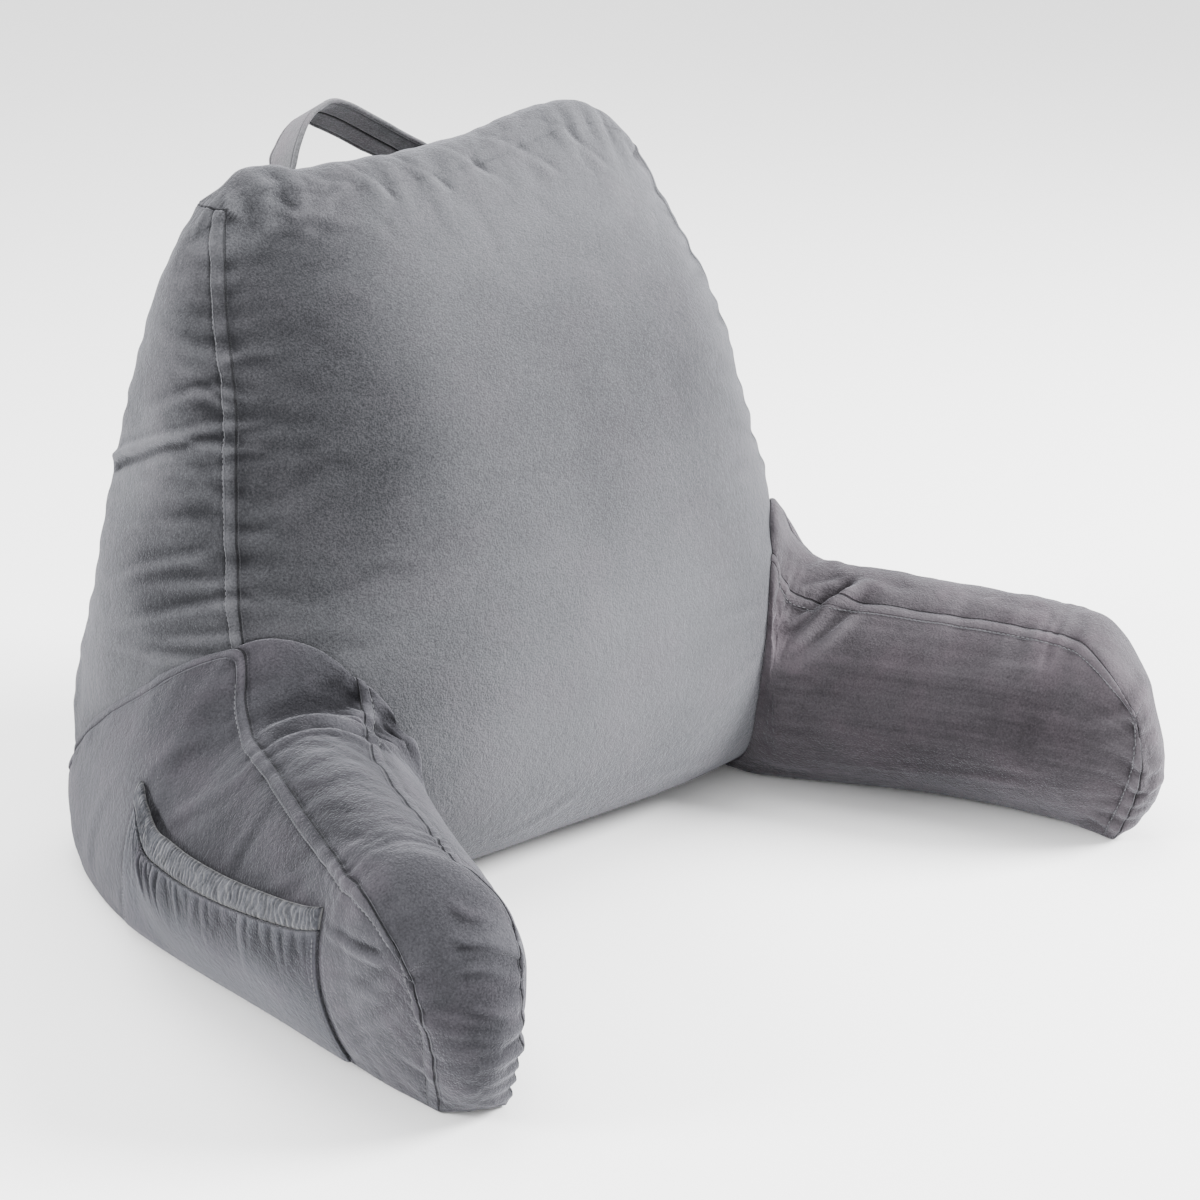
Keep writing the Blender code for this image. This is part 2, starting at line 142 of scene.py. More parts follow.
# A sewn seam of a block: the two of its places u, v, w that it holds, its length, how far it draws
# the cover in, how deep its line is, and the face its lapped welt lies on, or None.
Seam = namedtuple("Seam", "holds length gather line welt_face")
BACKREST_SEAMS = [
    Seam({0: 0, 1: 0}, 0.48, 1.0, 0.8, (0, 0)),
    Seam({0: 1, 1: 0}, 0.48, 1.0, 0.8, (0, 1)),
    Seam({0: 0, 1: 1}, 0.48, 0.6, 0.9, None),
    Seam({0: 1, 1: 1}, 0.48, 0.6, 0.9, None),
    Seam({1: 0, 2: 1}, 0.37, 1.2, 0.1, None),
    Seam({1: 1, 2: 1}, 0.37, 1.0, 0.9, None),
    Seam({0: 0, 2: 1}, 0.10, 0.6, 0.9, None),
    Seam({0: 1, 2: 1}, 0.10, 0.6, 0.9, None),
    Seam({0: 0, 2: 0}, 0.20, 0.3, 0.9, None),
    Seam({0: 1, 2: 0}, 0.20, 0.3, 0.9, None),
    Seam({1: 0, 2: 0}, 0.48, 0.5, 0.9, None),
    Seam({1: 1, 2: 0}, 0.48, 0.3, 0.9, None),
]

# Where brushing has laid the pile, and where highlights and shade are painted on: paler than the rest above
# 0, deeper below it.
Patch = namedtuple("Patch", "x y z radius paler")
BACKREST_NAP_AND_PAINTED_LIGHT = [
    Patch(-0.151, -0.002, 0.442, 0.050, -0.37),
    Patch(-0.168, -0.033, 0.393, 0.070, -0.44),
    Patch(-0.193, -0.054, 0.334, 0.070, -0.70),
    Patch(-0.154, -0.018, 0.420, 0.040, -0.33),
    Patch(-0.184, -0.019, 0.399, 0.035, -0.22),
    Patch(0.121, -0.089, 0.340, 0.080, -0.33),
    Patch(-0.260, 0.017, 0.224, 0.030, -0.50),
    Patch(-0.210, -0.063, 0.278, 0.070, -0.41),
    Patch(-0.210, -0.082, 0.228, 0.060, -0.18),
    Patch(-0.149, -0.072, 0.350, 0.060, -0.22),
    Patch(-0.179, -0.096, 0.252, 0.060, -0.15),
    Patch(-0.062, -0.026, 0.430, 0.050, 0.11),
    Patch(0.046, -0.003, 0.461, 0.080, 0.33),
    Patch(0.136, -0.007, 0.450, 0.060, 0.22),
    Patch(0.099, -0.070, 0.378, 0.090, 0.15),
    Patch(-0.017, -0.159, 0.131, 0.090, 0.59),
    Patch(0.073, -0.152, 0.181, 0.080, 0.37),
    Patch(-0.100, -0.151, 0.092, 0.060, 0.37),
    Patch(-0.160, -0.152, 0.124, 0.040, 0.30),
    Patch(0.111, -0.146, 0.078, 0.050, 0.30),
    Patch(-0.057, -0.095, 0.347, 0.060, 0.10),
    Patch(-0.191, -0.066, 0.310, 0.045, 0.16),
    Patch(-0.080, -0.156, 0.144, 0.050, 0.14),
    Patch(-0.165, -0.115, 0.220, 0.050, 0.22),
    Patch(-0.225, 0.058, 0.385, 0.035, 0.37),
    Patch(-0.206, 0.034, 0.434, 0.030, 0.15),
    Patch(-0.246, 0.054, 0.293, 0.030, 0.44),
    Patch(-0.241, 0.040, 0.323, 0.015, 0.30),
    Patch(-0.241, 0.037, 0.321, 0.030, 0.24),
    Patch(-0.210, 0.010, 0.405, 0.022, -0.37),
    Patch(-0.227, -0.010, 0.345, 0.015, -0.37),
    Patch(-0.241, -0.022, 0.275, 0.030, -0.37),
    Patch(-0.254, -0.019, 0.222, 0.035, -0.37),
    Patch(-0.256, 0.100, 0.191, 0.030, 0.30),
    Patch(-0.264, 0.103, 0.133, 0.030, 0.37),
]
WELT_WIDTH = 0.0096
WELT_HEIGHT = 0.0011
WELT_EDGE = 0.0015
STITCHING_DENT = 0.0018
SEAM_GROOVE_WIDTH = 0.0022
SEAM_GROOVE_DEPTH = 0.0010
FAR_FROM_SEAMS = 0.2
ON_THE_SAME = 1e-5
PUCKER_REACH = 0.022
PUCKER_DEPTH = 0.0014
PUCKERS_PER_METRE = 75.0
PUCKERS_WAVER = 14.0
SLACK_DEPTH = 0.0016
SLACK_PER_METRE = 13.0
SLACK_FROM_SEAM = 0.03
FLAT_BASE = 0.001
BASE_EASE = 0.012
FILLING_PRESSURE = 4.0
FILLING_FRAMES = 12
SEAM_DRAW = 0.04
SEAM_DRAW_REACH = 0.02
DEFLATED = 0.002
FORM_ROUNDS = 26
WRINKLE_SHARE = 0.42
WRINKLE_CAP = 0.004
COVERED_BY = 0.0004
CREST_HEIGHT = 0.0010
CREST_ROUNDS = 14


def smooth(places, values, at, calm=False):
    """The smooth curve through values that stand at ascending places, read at other places. A calm
    one doesn't swing past a value where a long step is followed by a short one."""
    places = np.asarray(places, float)
    values = np.asarray(values, float)
    slopes = np.empty_like(values)
    slopes[1:-1] = (values[2:] - values[:-2]) / (places[2:] - places[:-2])
    slopes[0] = (values[1] - values[0]) / (places[1] - places[0])
    slopes[-1] = (values[-1] - values[-2]) / (places[-1] - places[-2])
    if calm:
        steps = np.abs(np.diff(values) / np.diff(places))
        limit = 2 * np.minimum(steps[1:], steps[:-1])
        slopes[1:-1] = np.clip(slopes[1:-1], -limit, limit)
    i = np.clip(np.searchsorted(places, at) - 1, 0, len(places) - 2)
    span = places[i + 1] - places[i]
    f = (at - places[i]) / span
    return (
        values[i] * (2 * f**3 - 3 * f**2 + 1)
        + slopes[i] * span * (f**3 - 2 * f**2 + f)
        + values[i + 1] * (3 * f**2 - 2 * f**3)
        + slopes[i + 1] * span * (f**3 - f**2)
    )


def vectors(x, y, z):
    """Points or directions from their three columns, where a plain number stands for all the rows."""
    return np.stack(np.broadcast_arrays(x, y, z), axis=1)


def unit(directions):
    """The directions, each made one long."""
    return directions / np.linalg.norm(directions, axis=1, keepdims=True)


def bell(away, width=1.0, power=2):
    """1 where away is 0, easing off to 0 beyond the width."""
    return np.exp(-((away / width) ** power))


def arch(share):
    """0 at both ends of a share from 0 to 1, and 1 in its middle."""
    return 4 * share * (1 - share)


def row_at(table, at, places=None, calm=False):
    """The table's row at each place, between rows that stand at the places, or at 0, 1, 2 and so on."""
    places = range(len(table)) if places is None else places
    return type(table[0])(*(smooth(places, column, at, calm) for column in zip(*table)))


def backrest_form(place):
    """Points of the wedge: u from left to right, v from front to back, w from the floor up."""
    u, v, w = place.T
    across = 2 * u - 1
    level = row_at(LEVELS, w * TOP_SEAM_HEIGHT, [row.height for row in LEVELS])
    front_y = level.front_y - level.front_crown * (1 - np.abs(across) ** FRONT_ROUNDNESS)
    back_y = level.back_y + level.back_crown * (1 - np.abs(across) ** BACK_ROUNDNESS)
    half_width = level.front_x + (level.back_x - level.front_x) * v
    side_swell = level.side_crown * arch(v)
    x = across * (half_width + side_swell * np.abs(across) ** EDGE_REACH)
    y = front_y + (back_y - front_y) * v
    rise = smooth(*zip(*TOP_LINE), across)
    top_crown = TOP_STRIP_CROWN * arch(v) * (1 - across**8)
    z = w * TOP_SEAM_HEIGHT + (rise + top_crown) * w**EDGE_REACH
    return vectors(x, y, z)


def placed(name, data):
    """A new object with that data, put into the scene."""
    made = bpy.data.objects.new(name, data)
    bpy.context.scene.collection.objects.link(made)
    return made


def cover_block(name, counts, form):
    """A closed block of cloth cells, with each crossing's place from 0 to 1 kept as an attribute."""
    lines = [np.linspace(0, 1, count + 1) for count in counts]
    steps = np.stack(np.meshgrid(*(range(count + 1) for count in counts), indexing="ij"), -1)
    on_skin = ((steps == 0) | (steps == np.array(counts))).any(axis=-1)
    numbers = np.full([count + 1 for count in counts], -1)
    numbers[on_skin] = np.arange(on_skin.sum())
    place = np.stack(np.meshgrid(*lines, indexing="ij"), -1)[on_skin]
    points = form(place)
    faces = []
    for axis in range(3):
        for end in (0, -1):
            side = np.take(numbers, end, axis=axis)
            quads = [side[:-1, :-1], side[1:, :-1], side[1:, 1:], side[:-1, 1:]]
            quads = np.stack(quads, -1).reshape(-1, 4)
            faces.append(quads[:, ::-1] if (end == 0) != (axis == 1) else quads)
    faces = np.concatenate(faces)
    corners = points[faces]
    middles = corners.mean(axis=1)
    spread = np.cross(corners[:, 2] - corners[:, 0], corners[:, 3] - corners[:, 1])
    if (spread * (middles - points.mean(axis=0))).sum() < 0:
        faces = faces[:, ::-1]
    mesh = bpy.data.meshes.new(name)
    mesh.from_pydata(points.tolist(), [], faces.tolist())
    keep(mesh, place=place)
    mesh.shade_smooth()
    return placed(name, mesh)


def keep(mesh, **facts):
    """Keeps numbers or vectors for the points of the mesh, each as an attribute of that name."""
    for name, values in facts.items():
        kind, field = ("FLOAT", "value") if values.ndim == 1 else ("FLOAT_VECTOR", "vector")
        attribute = mesh.attributes.get(name) or mesh.attributes.new(name, kind, "POINT")
        attribute.data.foreach_set(field, np.ascontiguousarray(values, np.float32).ravel())


def numbers_in(rows, field, width=3):
    """A field of all the rows: one vector a row, or one number where the width is 1."""
    values = np.empty(len(rows) * width, np.float32)
    rows.foreach_get(field, values)
    return (values.reshape(-1, width) if width > 1 else values).astype(float)


def kept(mesh, name):
    """The numbers or vectors kept under that name."""
    attribute = mesh.attributes[name]
    if attribute.data_type == "FLOAT":
        return numbers_in(attribute.data, "value", 1)
    return numbers_in(attribute.data, "vector")


def points_of(mesh):
    """Where the mesh's points are."""
    return numbers_in(mesh.vertices, "co")


def normals_of(mesh):
    """The directions outwards at the mesh's points."""
    return numbers_in(mesh.vertex_normals, "vector")


def move_points(mesh, points):
    """Puts the mesh's points somewhere else."""
    mesh.vertices.foreach_set("co", np.ascontiguousarray(points, np.float32).ravel())
    mesh.update()


def seam_facts(place, form, seams):
    """For points of a cover: how far the nearest seam is and how far along it they are, how much it
    gathers, how deep its line is, and how far the topstitching of the nearest welt is."""
    points = form(place)
    away_from_it = np.full(len(place), FAR_FROM_SEAMS)
    along, gather, line = np.zeros((3, len(place)))
    to_stitching = np.full(len(place), FAR_FROM_SEAMS)
    for seam in seams:
        (a, a_end), (b, b_end) = seam.holds.items()
        on_a = np.abs(place[:, a] - a_end) < ON_THE_SAME
        on_b = np.abs(place[:, b] - b_end) < ON_THE_SAME
        on_seam = place.copy()
        on_seam[:, a] = a_end
        on_seam[:, b] = b_end
        away = np.linalg.norm(points - form(on_seam), axis=1)
        nearer = (on_a | on_b) & (away < away_from_it)
        along[nearer] = place[nearer, 3 - a - b] * seam.length + a + 2 * b_end
        gather[nearer] = seam.gather
        line[nearer] = seam.line
        away_from_it[nearer] = away[nearer]
        if seam.welt_face:
            axis, end = seam.welt_face
            on_welt = np.abs(place[:, axis] - end) < ON_THE_SAME
            to_line = np.where(on_welt, away - WELT_WIDTH, FAR_FROM_SEAMS)
            closer = np.abs(to_line) < np.abs(to_stitching)
            to_stitching[closer] = to_line[closer]
    return away_from_it, along, gather, line, to_stitching


def relaxed(mesh, values, rounds):
    """Vectors at the mesh's points, evened out with those of their neighbours, round after round."""
    ends = np.empty(len(mesh.edges) * 2, np.int32)
    mesh.edges.foreach_get("vertices", ends)
    a, b = ends.reshape(-1, 2).T
    count = np.bincount(np.r_[a, b], minlength=len(values))
    for _ in range(rounds):
        for k in range(3):
            total = np.bincount(a, values[b, k], len(values)) + np.bincount(b, values[a, k], len(values))
            values[:, k] = (values[:, k] + total / count) / 2
    return values


def worked_out(piece):
    """The piece as its modifiers leave it."""
    return piece.evaluated_get(bpy.context.evaluated_depsgraph_get())


def remade(piece, kind, **settings):
    """Gives the piece the mesh that one modifier makes of it."""
    modifier = piece.modifiers.new(kind.lower(), kind)
    for name, setting in settings.items():
        setattr(modifier, name, setting)
    mesh = bpy.data.meshes.new_from_object(worked_out(piece))
    piece.modifiers.remove(modifier)
    piece.data = mesh
    mesh.shade_smooth()
    return mesh


def stuff(piece, drawn_in):
    """Lets the filling press on the cover while its seams draw it in, and keeps the wrinkles alone."""
    mesh = piece.data
    rest = points_of(mesh)
    start = rest - normals_of(mesh) * DEFLATED
    start[:, 2] = np.maximum(start[:, 2], 0.0)
    move_points(mesh, start)
    base = piece.vertex_groups.new(name="base on the bed")
    base.add(np.flatnonzero(rest[:, 2] < FLAT_BASE).tolist(), 1.0, "REPLACE")
    drawn = piece.vertex_groups.new(name="drawn in by seams")
    for level in range(1, 11):
        chosen = np.flatnonzero(np.rint(drawn_in * 10) == level)
        drawn.add(chosen.tolist(), level / 10, "REPLACE")
    cloth = piece.modifiers.new("filling", "CLOTH")
    cloth.settings.use_pressure = True
    cloth.settings.uniform_pressure_force = FILLING_PRESSURE
    cloth.settings.effector_weights.gravity = 0.0
    cloth.settings.vertex_group_mass = base.name
    cloth.settings.vertex_group_shrink = drawn.name
    cloth.settings.shrink_max = SEAM_DRAW
    for step in range(1, FILLING_FRAMES + 1):
        bpy.context.scene.frame_set(step)
    moved = points_of(worked_out(piece).data) - rest
    piece.modifiers.remove(cloth)
    bpy.context.scene.frame_set(1)
    piece.vertex_groups.clear()
    wrinkles = WRINKLE_SHARE * (moved - relaxed(mesh, moved.copy(), FORM_ROUNDS))
    size = np.linalg.norm(wrinkles, axis=1, keepdims=True)
    wrinkles *= WRINKLE_CAP / (WRINKLE_CAP + size)
    points = rest + wrinkles
    points[rest[:, 2] < FLAT_BASE, 2] = 0.0
    move_points(mesh, points)


def folded(points, normals, folds):
    """How far outwards folds move the points: a sharp ridge over a softer valley, deepest at its end."""
    lift = np.zeros(len(points))
    for fold in folds:
        start = np.array([fold.x, fold.y, fold.z])
        run = np.array([fold.to_x, fold.to_y, fold.to_z]) - start
        length = np.linalg.norm(run)
        run /= length
        near = np.flatnonzero(np.linalg.norm(points - start - run * length / 2, axis=1) < length)
        away = points[near] - start
        along = away @ run
        across = np.cross(run, normals[near])
        side = (away * across).sum(axis=1) / fold.width
        side += FOLD_WAVER * np.sin(along / length * 3 + fold.z * FOLD_PHASES_PER_METRE)
        beyond = np.maximum(np.maximum(-along, along - length), 0.0)
        deepening = FOLD_START + (1 - FOLD_START) * np.clip(along / length, 0, 1) ** 0.7
        tapered = bell(beyond, FOLD_EASES_OUT * fold.width) * deepening
        off_line = ((away - along[:, None] * run) * normals[near]).sum(axis=1)
        tapered *= bell(off_line, FOLD_REACH, 4)
        profile = FOLD_RIDGE * bell(side, FOLD_RIDGE_WIDTH) - FOLD_VALLEY * bell(side + FOLD_VALLEY_AWAY)
        lift[near] += fold.depth * profile * tapered
    return lift


def uneven(points, offset, per_metre=1.0):
    """A soft random number from -1 to 1 at each point."""
    shift = Vector(offset)
    return np.array([noise.noise(Vector(point) * per_metre + shift) for point in points])


def pile_and_painted_light(points, patches):
    """How pale the pile is at each point, from -1 to 1, from its brushing and from the painted highlights
    and shade.
    """
    paler = np.zeros(len(points))
    for patch in patches:
        away = np.linalg.norm(points - np.array([patch.x, patch.y, patch.z]), axis=1)
        paler += patch.paler * bell(away, patch.radius)
    return np.tanh(paler)


def relief(mesh, points, form_points, rounds):
    """How far each point stands out from the cover round it, from -1 to 1, leaving out the edges that
    the form has itself."""
    rise = points - relaxed(mesh, points.copy(), rounds)
    rise -= form_points - relaxed(mesh, form_points.copy(), rounds)
    return np.clip((rise * normals_of(mesh)).sum(axis=1) / CREST_HEIGHT, -1, 1)


def dress(piece, form, seams, folds, nap, panel_size, covered):
    """Sews the cover: its wrinkles, its folds, the grooves of its seams and the welts beside them.
    Where it is covered by another piece it stays inside its form."""
    place = kept(piece.data, "place")
    to_seam, _, gather, _, _ = seam_facts(place, form, seams)
    stuff(piece, np.clip(1 - to_seam / SEAM_DRAW_REACH, 0, 1) * np.minimum(gather, 1))
    mesh = remade(piece, "SUBSURF", levels=1, render_levels=1)
    place = kept(mesh, "place")
    to_seam, along, gather, line, to_stitching = seam_facts(place, form, seams)
    points = points_of(mesh)
    normals = normals_of(mesh)
    pleats = vectors(along * PUCKERS_PER_METRE, to_seam * PUCKERS_WAVER, 0)
    pucker = uneven(pleats, (0.3, 7.7, 2.1)) * gather * bell(to_seam, PUCKER_REACH, 1.3)
    slack = uneven(points, (4.2, 1.7, 9.3), SLACK_PER_METRE) * np.clip(to_seam / SLACK_FROM_SEAM, 0, 1)
    on_welt = np.clip(-to_stitching / WELT_EDGE, 0, 1) * (to_stitching > -WELT_WIDTH - 0.0001)
    lift = PUCKER_DEPTH * 2 * pucker + SLACK_DEPTH * slack + folded(points, normals, folds)
    lift += WELT_HEIGHT * on_welt
    lift -= SEAM_GROOVE_DEPTH * line * bell(to_seam, SEAM_GROOVE_WIDTH)
    lift -= 0.4 * WELT_HEIGHT * bell(to_stitching, STITCHING_DENT)
    lift *= np.clip(points[:, 2] / BASE_EASE, 0, 1)
    points += normals * lift[:, None]
    under = np.flatnonzero(covered(place))
    proud = ((points[under] - form(place[under])) * normals[under]).sum(axis=1)
    points[under] -= normals[under] * np.maximum(proud + COVERED_BY, 0)[:, None]
    points[:, 2] = np.maximum(points[:, 2], 0.0)
    move_points(mesh, points)
    # Kept with the points: the pile's tone together with its painted highlights and shade.
    keep(
        mesh,
        crest=relief(mesh, points, form(place), CREST_ROUNDS),
        to_seam=to_seam,
        along_seam=along,
        gather=gather,
        line=line,
        to_stitching=to_stitching,
        nap=pile_and_painted_light(points, nap),
        panel=place * np.array(panel_size),
    )


class Reading:
    """What a node gives. Arithmetic on it adds the Math nodes that work it out."""

    def __init__(self, nodes, socket):
        self.nodes = nodes
        self.socket = socket

    def math(self, operation, first, second):
        return self.nodes.node("ShaderNodeMath", {"operation": operation}, [first, second])

    def __add__(self, other):
        return self.math("ADD", self, other)

    def __radd__(self, other):
        return self.math("ADD", other, self)

    def __sub__(self, other):
        return self.math("SUBTRACT", self, other)

    def __rsub__(self, other):
        return self.math("SUBTRACT", other, self)

    def __mul__(self, other):
        return self.math("MULTIPLY", self, other)

    def __abs__(self):
        return self.math("ABSOLUTE", self, 0.0)


class Nodes:
    """A tree of nodes."""

    def __init__(self, tree):
        self.tree = tree

    def node(self, kind, settings, values, output=0):
        """One node: its settings first, then a number, colour or reading for each of its sockets."""
        made = self.tree.nodes.new(kind)
        for name, setting in settings.items():
            setattr(made, name, setting)
        self.fill(made.inputs, values)
        return Reading(self, made.outputs[output])

    def fill(self, sockets, values):
        """Links each reading to its socket, and sets each plain value on its own."""
        for key, value in values.items() if isinstance(values, dict) else enumerate(values):
            if isinstance(value, Reading):
                self.tree.links.new(value.socket, sockets[key])
            else:
                sockets[key].default_value = value


class Cloth(Nodes):
    """A cloth's material and the nodes in it."""

    def __init__(self, name):
        self.material = bpy.data.materials.new(name)
        self.material.use_nodes = True
        super().__init__(self.material.node_tree)
        self.shader = self.tree.nodes["Principled BSDF"]

    def surface(self, values):
        """What the cloth's surface is like: a number, colour or reading for each of its sockets."""
        self.fill(self.shader.inputs, values)

    def kept(self, name, output="Fac"):
        """What was kept on the piece's points under a name."""
        return self.node("ShaderNodeAttribute", {"attribute_name": name}, {}, output)

    def speckle(self, where, scale, detail=2.0, roughness=0.5):
        """Cloudy noise from 0 to 1."""
        sockets = {"Vector": where, "Scale": scale, "Detail": detail, "Roughness": roughness}
        return self.node("ShaderNodeTexNoise", {}, sockets, "Fac")

    def stretched(self, where, sizes):
        """A place scaled by its own amount along each axis."""
        return self.node("ShaderNodeVectorMath", {"operation": "MULTIPLY"}, [where, sizes])

    def ramp(self, reading, low, high):
        """0 where the reading is below low and 1 above high, easing between."""
        sockets = {"Value": reading, "From Min": low, "From Max": high}
        return self.node("ShaderNodeMapRange", {"interpolation_type": "SMOOTHSTEP"}, sockets)

    def blend(self, share, colour, other):
        """A colour that goes to the other one by the share."""
        return self.node("ShaderNodeMix", {"data_type": "RGBA"}, {0: share, 6: colour, 7: other}, 2)

    def bump(self, height, distance):
        """Feeds a height, in parts of the distance in metres, to the surface."""
        sockets = {"Height": height, "Distance": distance}
        self.surface({"Normal": self.node("ShaderNodeBump", {}, sockets)})

    def here(self):
        """The place on the cloth, in metres."""
        return self.node("ShaderNodeTexCoord", {}, {}, "Object")


def darker(colour, share):
    """That share of a colour."""
    return [part * share for part in colour[:3]] + [1.0]


PILE_HEIGHT = 0.0014
GRAIN_PER_METRE = 760.0
TUFTS_PER_METRE = 190.0
MOTTLE_PER_METRE = 42.0
HUES_PER_METRE = 21.0
CLOUDS_PER_METRE = 8.0
PUCKER_SHADES_PER_METRE = 110.0
PUCKER_SHADES_WAVER = 26.0


def velour(name, deep, pale, crushed, streaked, streaks):
    """Short-pile velour: where the pile leans away it looks deep, and where it leans up it looks pale.
    Crushed and streaked say how much its mottle and its streaks show, and streaks how fine they are.
    Its colour also holds painted light: painted highlights on ridges, puckers and along the
    topstitching, painted shade in hollows and seam grooves, and the painted highlights and shade that
    are kept with the points beside the pile's own tone."""
    cloth = Cloth(name)
    here = cloth.here()
    panel = cloth.kept("panel", "Vector")
    to_seam = cloth.kept("to_seam")
    to_stitching = cloth.kept("to_stitching")
    nap = cloth.kept("nap")
    crest = cloth.kept("crest")

    grain = cloth.speckle(here, GRAIN_PER_METRE, 2.0, 0.6)
    tufts = cloth.speckle(here, TUFTS_PER_METRE, 3.0, 0.65)
    hue = cloth.speckle(here, HUES_PER_METRE, 3.0, 0.6)
    mottle = cloth.speckle(here, MOTTLE_PER_METRE, 4.0, 0.6)
    clouds = cloth.speckle(here, CLOUDS_PER_METRE, 2.0, 0.5)
    streak = cloth.speckle(cloth.stretched(panel, streaks), 1.0, 3.0, 0.55)
    along = cloth.kept("along_seam") * PUCKER_SHADES_PER_METRE
    pleats = cloth.node("ShaderNodeCombineXYZ", {}, [along, to_seam * PUCKER_SHADES_WAVER, 0.0])
    pucker = cloth.speckle(pleats, 1.0, 1.0, 0.4) - 0.5
    near_seam = cloth.ramp(to_seam, 0.023, 0.002) * cloth.kept("gather")
    groove = cloth.ramp(to_seam, 0.0013, 0.0004) * cloth.kept("line")
    line = cloth.ramp(abs(to_stitching), 0.0009, 0.0002)

    # The pile's lean, together with the painted highlights and shade kept with the points.
    pile_lean_and_painted_light = nap * 0.58 + (clouds - 0.5) * 0.3 + (mottle - 0.5) * crushed
    pile_lean_and_painted_light += (streak - 0.5) * streaked
    fine = (grain - 0.5) * 0.75 + (tufts - 0.5) * 0.14
    # Crest paints a highlight where the cover stands out, and the pucker term paints light and shade on the
    # puckers near the seams.
    pale_share = 0.5 + pile_lean_and_painted_light + fine + crest * 0.30 + pucker * near_seam * 0.18
    rosy = [pale[0] * 1.07, pale[1] * 0.95, pale[2] * 1.0, 1.0]
    up = cloth.blend(cloth.ramp(hue, 0.42, 0.66) * crushed * 1.6, pale, rosy)
    colour = cloth.blend(cloth.ramp(pale_share, -0.25, 1.25), deep, up)
    # Painted shade in the hollows of folds, wrinkles and gathers.
    painted_hollow_shade = cloth.ramp(0.0 - crest, 0.3, 1.0)
    colour = cloth.blend(painted_hollow_shade * 0.30, colour, darker(deep, 0.5))
    # Painted shade along the seam grooves, darker than the deepest pile.
    colour = cloth.blend(groove * 0.75, colour, darker(deep, 0.3))
    # A painted highlight along the topstitching, where the welt's edge catches the light.
    colour = cloth.blend(line * 0.25, colour, pale)
    cloth.surface(
        {
            "Base Color": colour,
            "Roughness": 0.93 - nap * 0.05,
            "Sheen Weight": 0.22,
            "Sheen Roughness": 0.35,
            "Sheen Tint": (0.90, 0.91, 1.0, 1.0),
            "Specular IOR Level": 0.10,
        }
    )

    height = grain * 0.4 + tufts * 0.8 + mottle * 0.4 + streak * (streaked * 0.5) + pucker * near_seam * 0.6
    cloth.bump(height - groove * 1.1 - line * 0.7, PILE_HEIGHT)
    return cloth.material


backrest = cover_block("backrest_cover", (80, 34, 104), backrest_form)
STRAP_FOOT_REACH = 0.024
STRAP_FEET = (-0.083, 0.058)
STRAP_FEET_FROM = 0.80
LAST = 0.999


def under_strap(place):
    """Where the carrying strap's feet lie on the back panel."""
    x = backrest_form(place)[:, 0]
    beside = np.min([np.abs(x - foot) for foot in STRAP_FEET], axis=0) < STRAP_FOOT_REACH
    return beside & (place[:, 1] > LAST) & (place[:, 2] > STRAP_FEET_FROM) & (place[:, 2] < LAST)


dress(
    backrest, backrest_form, BACKREST_SEAMS, BACKREST_FOLDS, BACKREST_NAP_AND_PAINTED_LIGHT, (0.48, 0.20, 0.48), under_strap
)
DEEP_GREY = (0.0090, 0.0092, 0.0108, 1.0)
PALE_GREY = (0.100, 0.1015, 0.110, 1.0)
backrest_velour = velour("velour_backrest", DEEP_GREY, PALE_GREY, 0.12, 0.20, (18.0, 18.0, 30.0))
backrest.data.materials.append(backrest_velour)
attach(backrest, "root")
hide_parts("backrest")

# ------------------------------------------------------------------------------------------------
# The arms: two stuffed bolsters of an inner and an outer velour panel and a strip that runs along
# the top and down the rounded tip. Each is sewn round a lower corner of the backrest, which presses
# its cover flat there, and both its long seams are lapped and topstitched.

# An arm from its rear to its tip: its inner and outer long seams, the feet of its two panels on the
# floor, and how far the filling swells each panel out.
Station = namedtuple(
    "Station",
    "inner_x inner_y inner_z outer_x outer_y outer_z "
    "foot_in_x foot_in_y foot_out_x foot_out_y swell_in swell_out",
)
STATIONS = [
    Station(0.205, 0.128, 0.045, 0.262, 0.136, 0.062, 0.205, 0.128, 0.262, 0.128, 0.000, 0.008),
    Station(0.190, 0.080, 0.085, 0.269, 0.092, 0.108, 0.190, 0.080, 0.288, 0.084, 0.000, 0.007),
    Station(0.180, 0.000, 0.140, 0.269, 0.008, 0.163, 0.180, 0.000, 0.310, 0.002, 0.000, 0.010),
    Station(0.191, -0.114, 0.181, 0.246, -0.062, 0.199, 0.185, -0.098, 0.315, -0.060, 0.044, 0.023),
    Station(0.195, -0.125, 0.160, 0.254, -0.081, 0.168, 0.194, -0.116, 0.314, -0.080, 0.045, 0.028),
    Station(0.203, -0.138, 0.149, 0.266, -0.108, 0.153, 0.205, -0.134, 0.313, -0.104, 0.048, 0.032),
    Station(0.222, -0.172, 0.150, 0.281, -0.150, 0.153, 0.228, -0.170, 0.313, -0.146, 0.051, 0.034),
    Station(0.247, -0.232, 0.151, 0.303, -0.210, 0.151, 0.260, -0.226, 0.314, -0.205, 0.050, 0.033),
    Station(0.271, -0.298, 0.152, 0.327, -0.277, 0.149, 0.282, -0.290, 0.318, -0.268, 0.046, 0.026),
    Station(0.281, -0.331, 0.150, 0.336, -0.310, 0.146, 0.287, -0.322, 0.320, -0.303, 0.040, 0.020),
    Station(0.286, -0.412, 0.150, 0.339, -0.380, 0.146, 0.284, -0.364, 0.319, -0.344, 0.000, 0.000),
]
TIP = len(STATIONS) - 1
SHOULDER = TIP - 1
ARM_STRIP_CROWN = 0.013
ARM_TIP_CROWN = 0.020
ARM_TIP_ROUNDING = 0.95
ARM_LEANS_OUT = 1.8
ARM_FULLNESS = 0.75
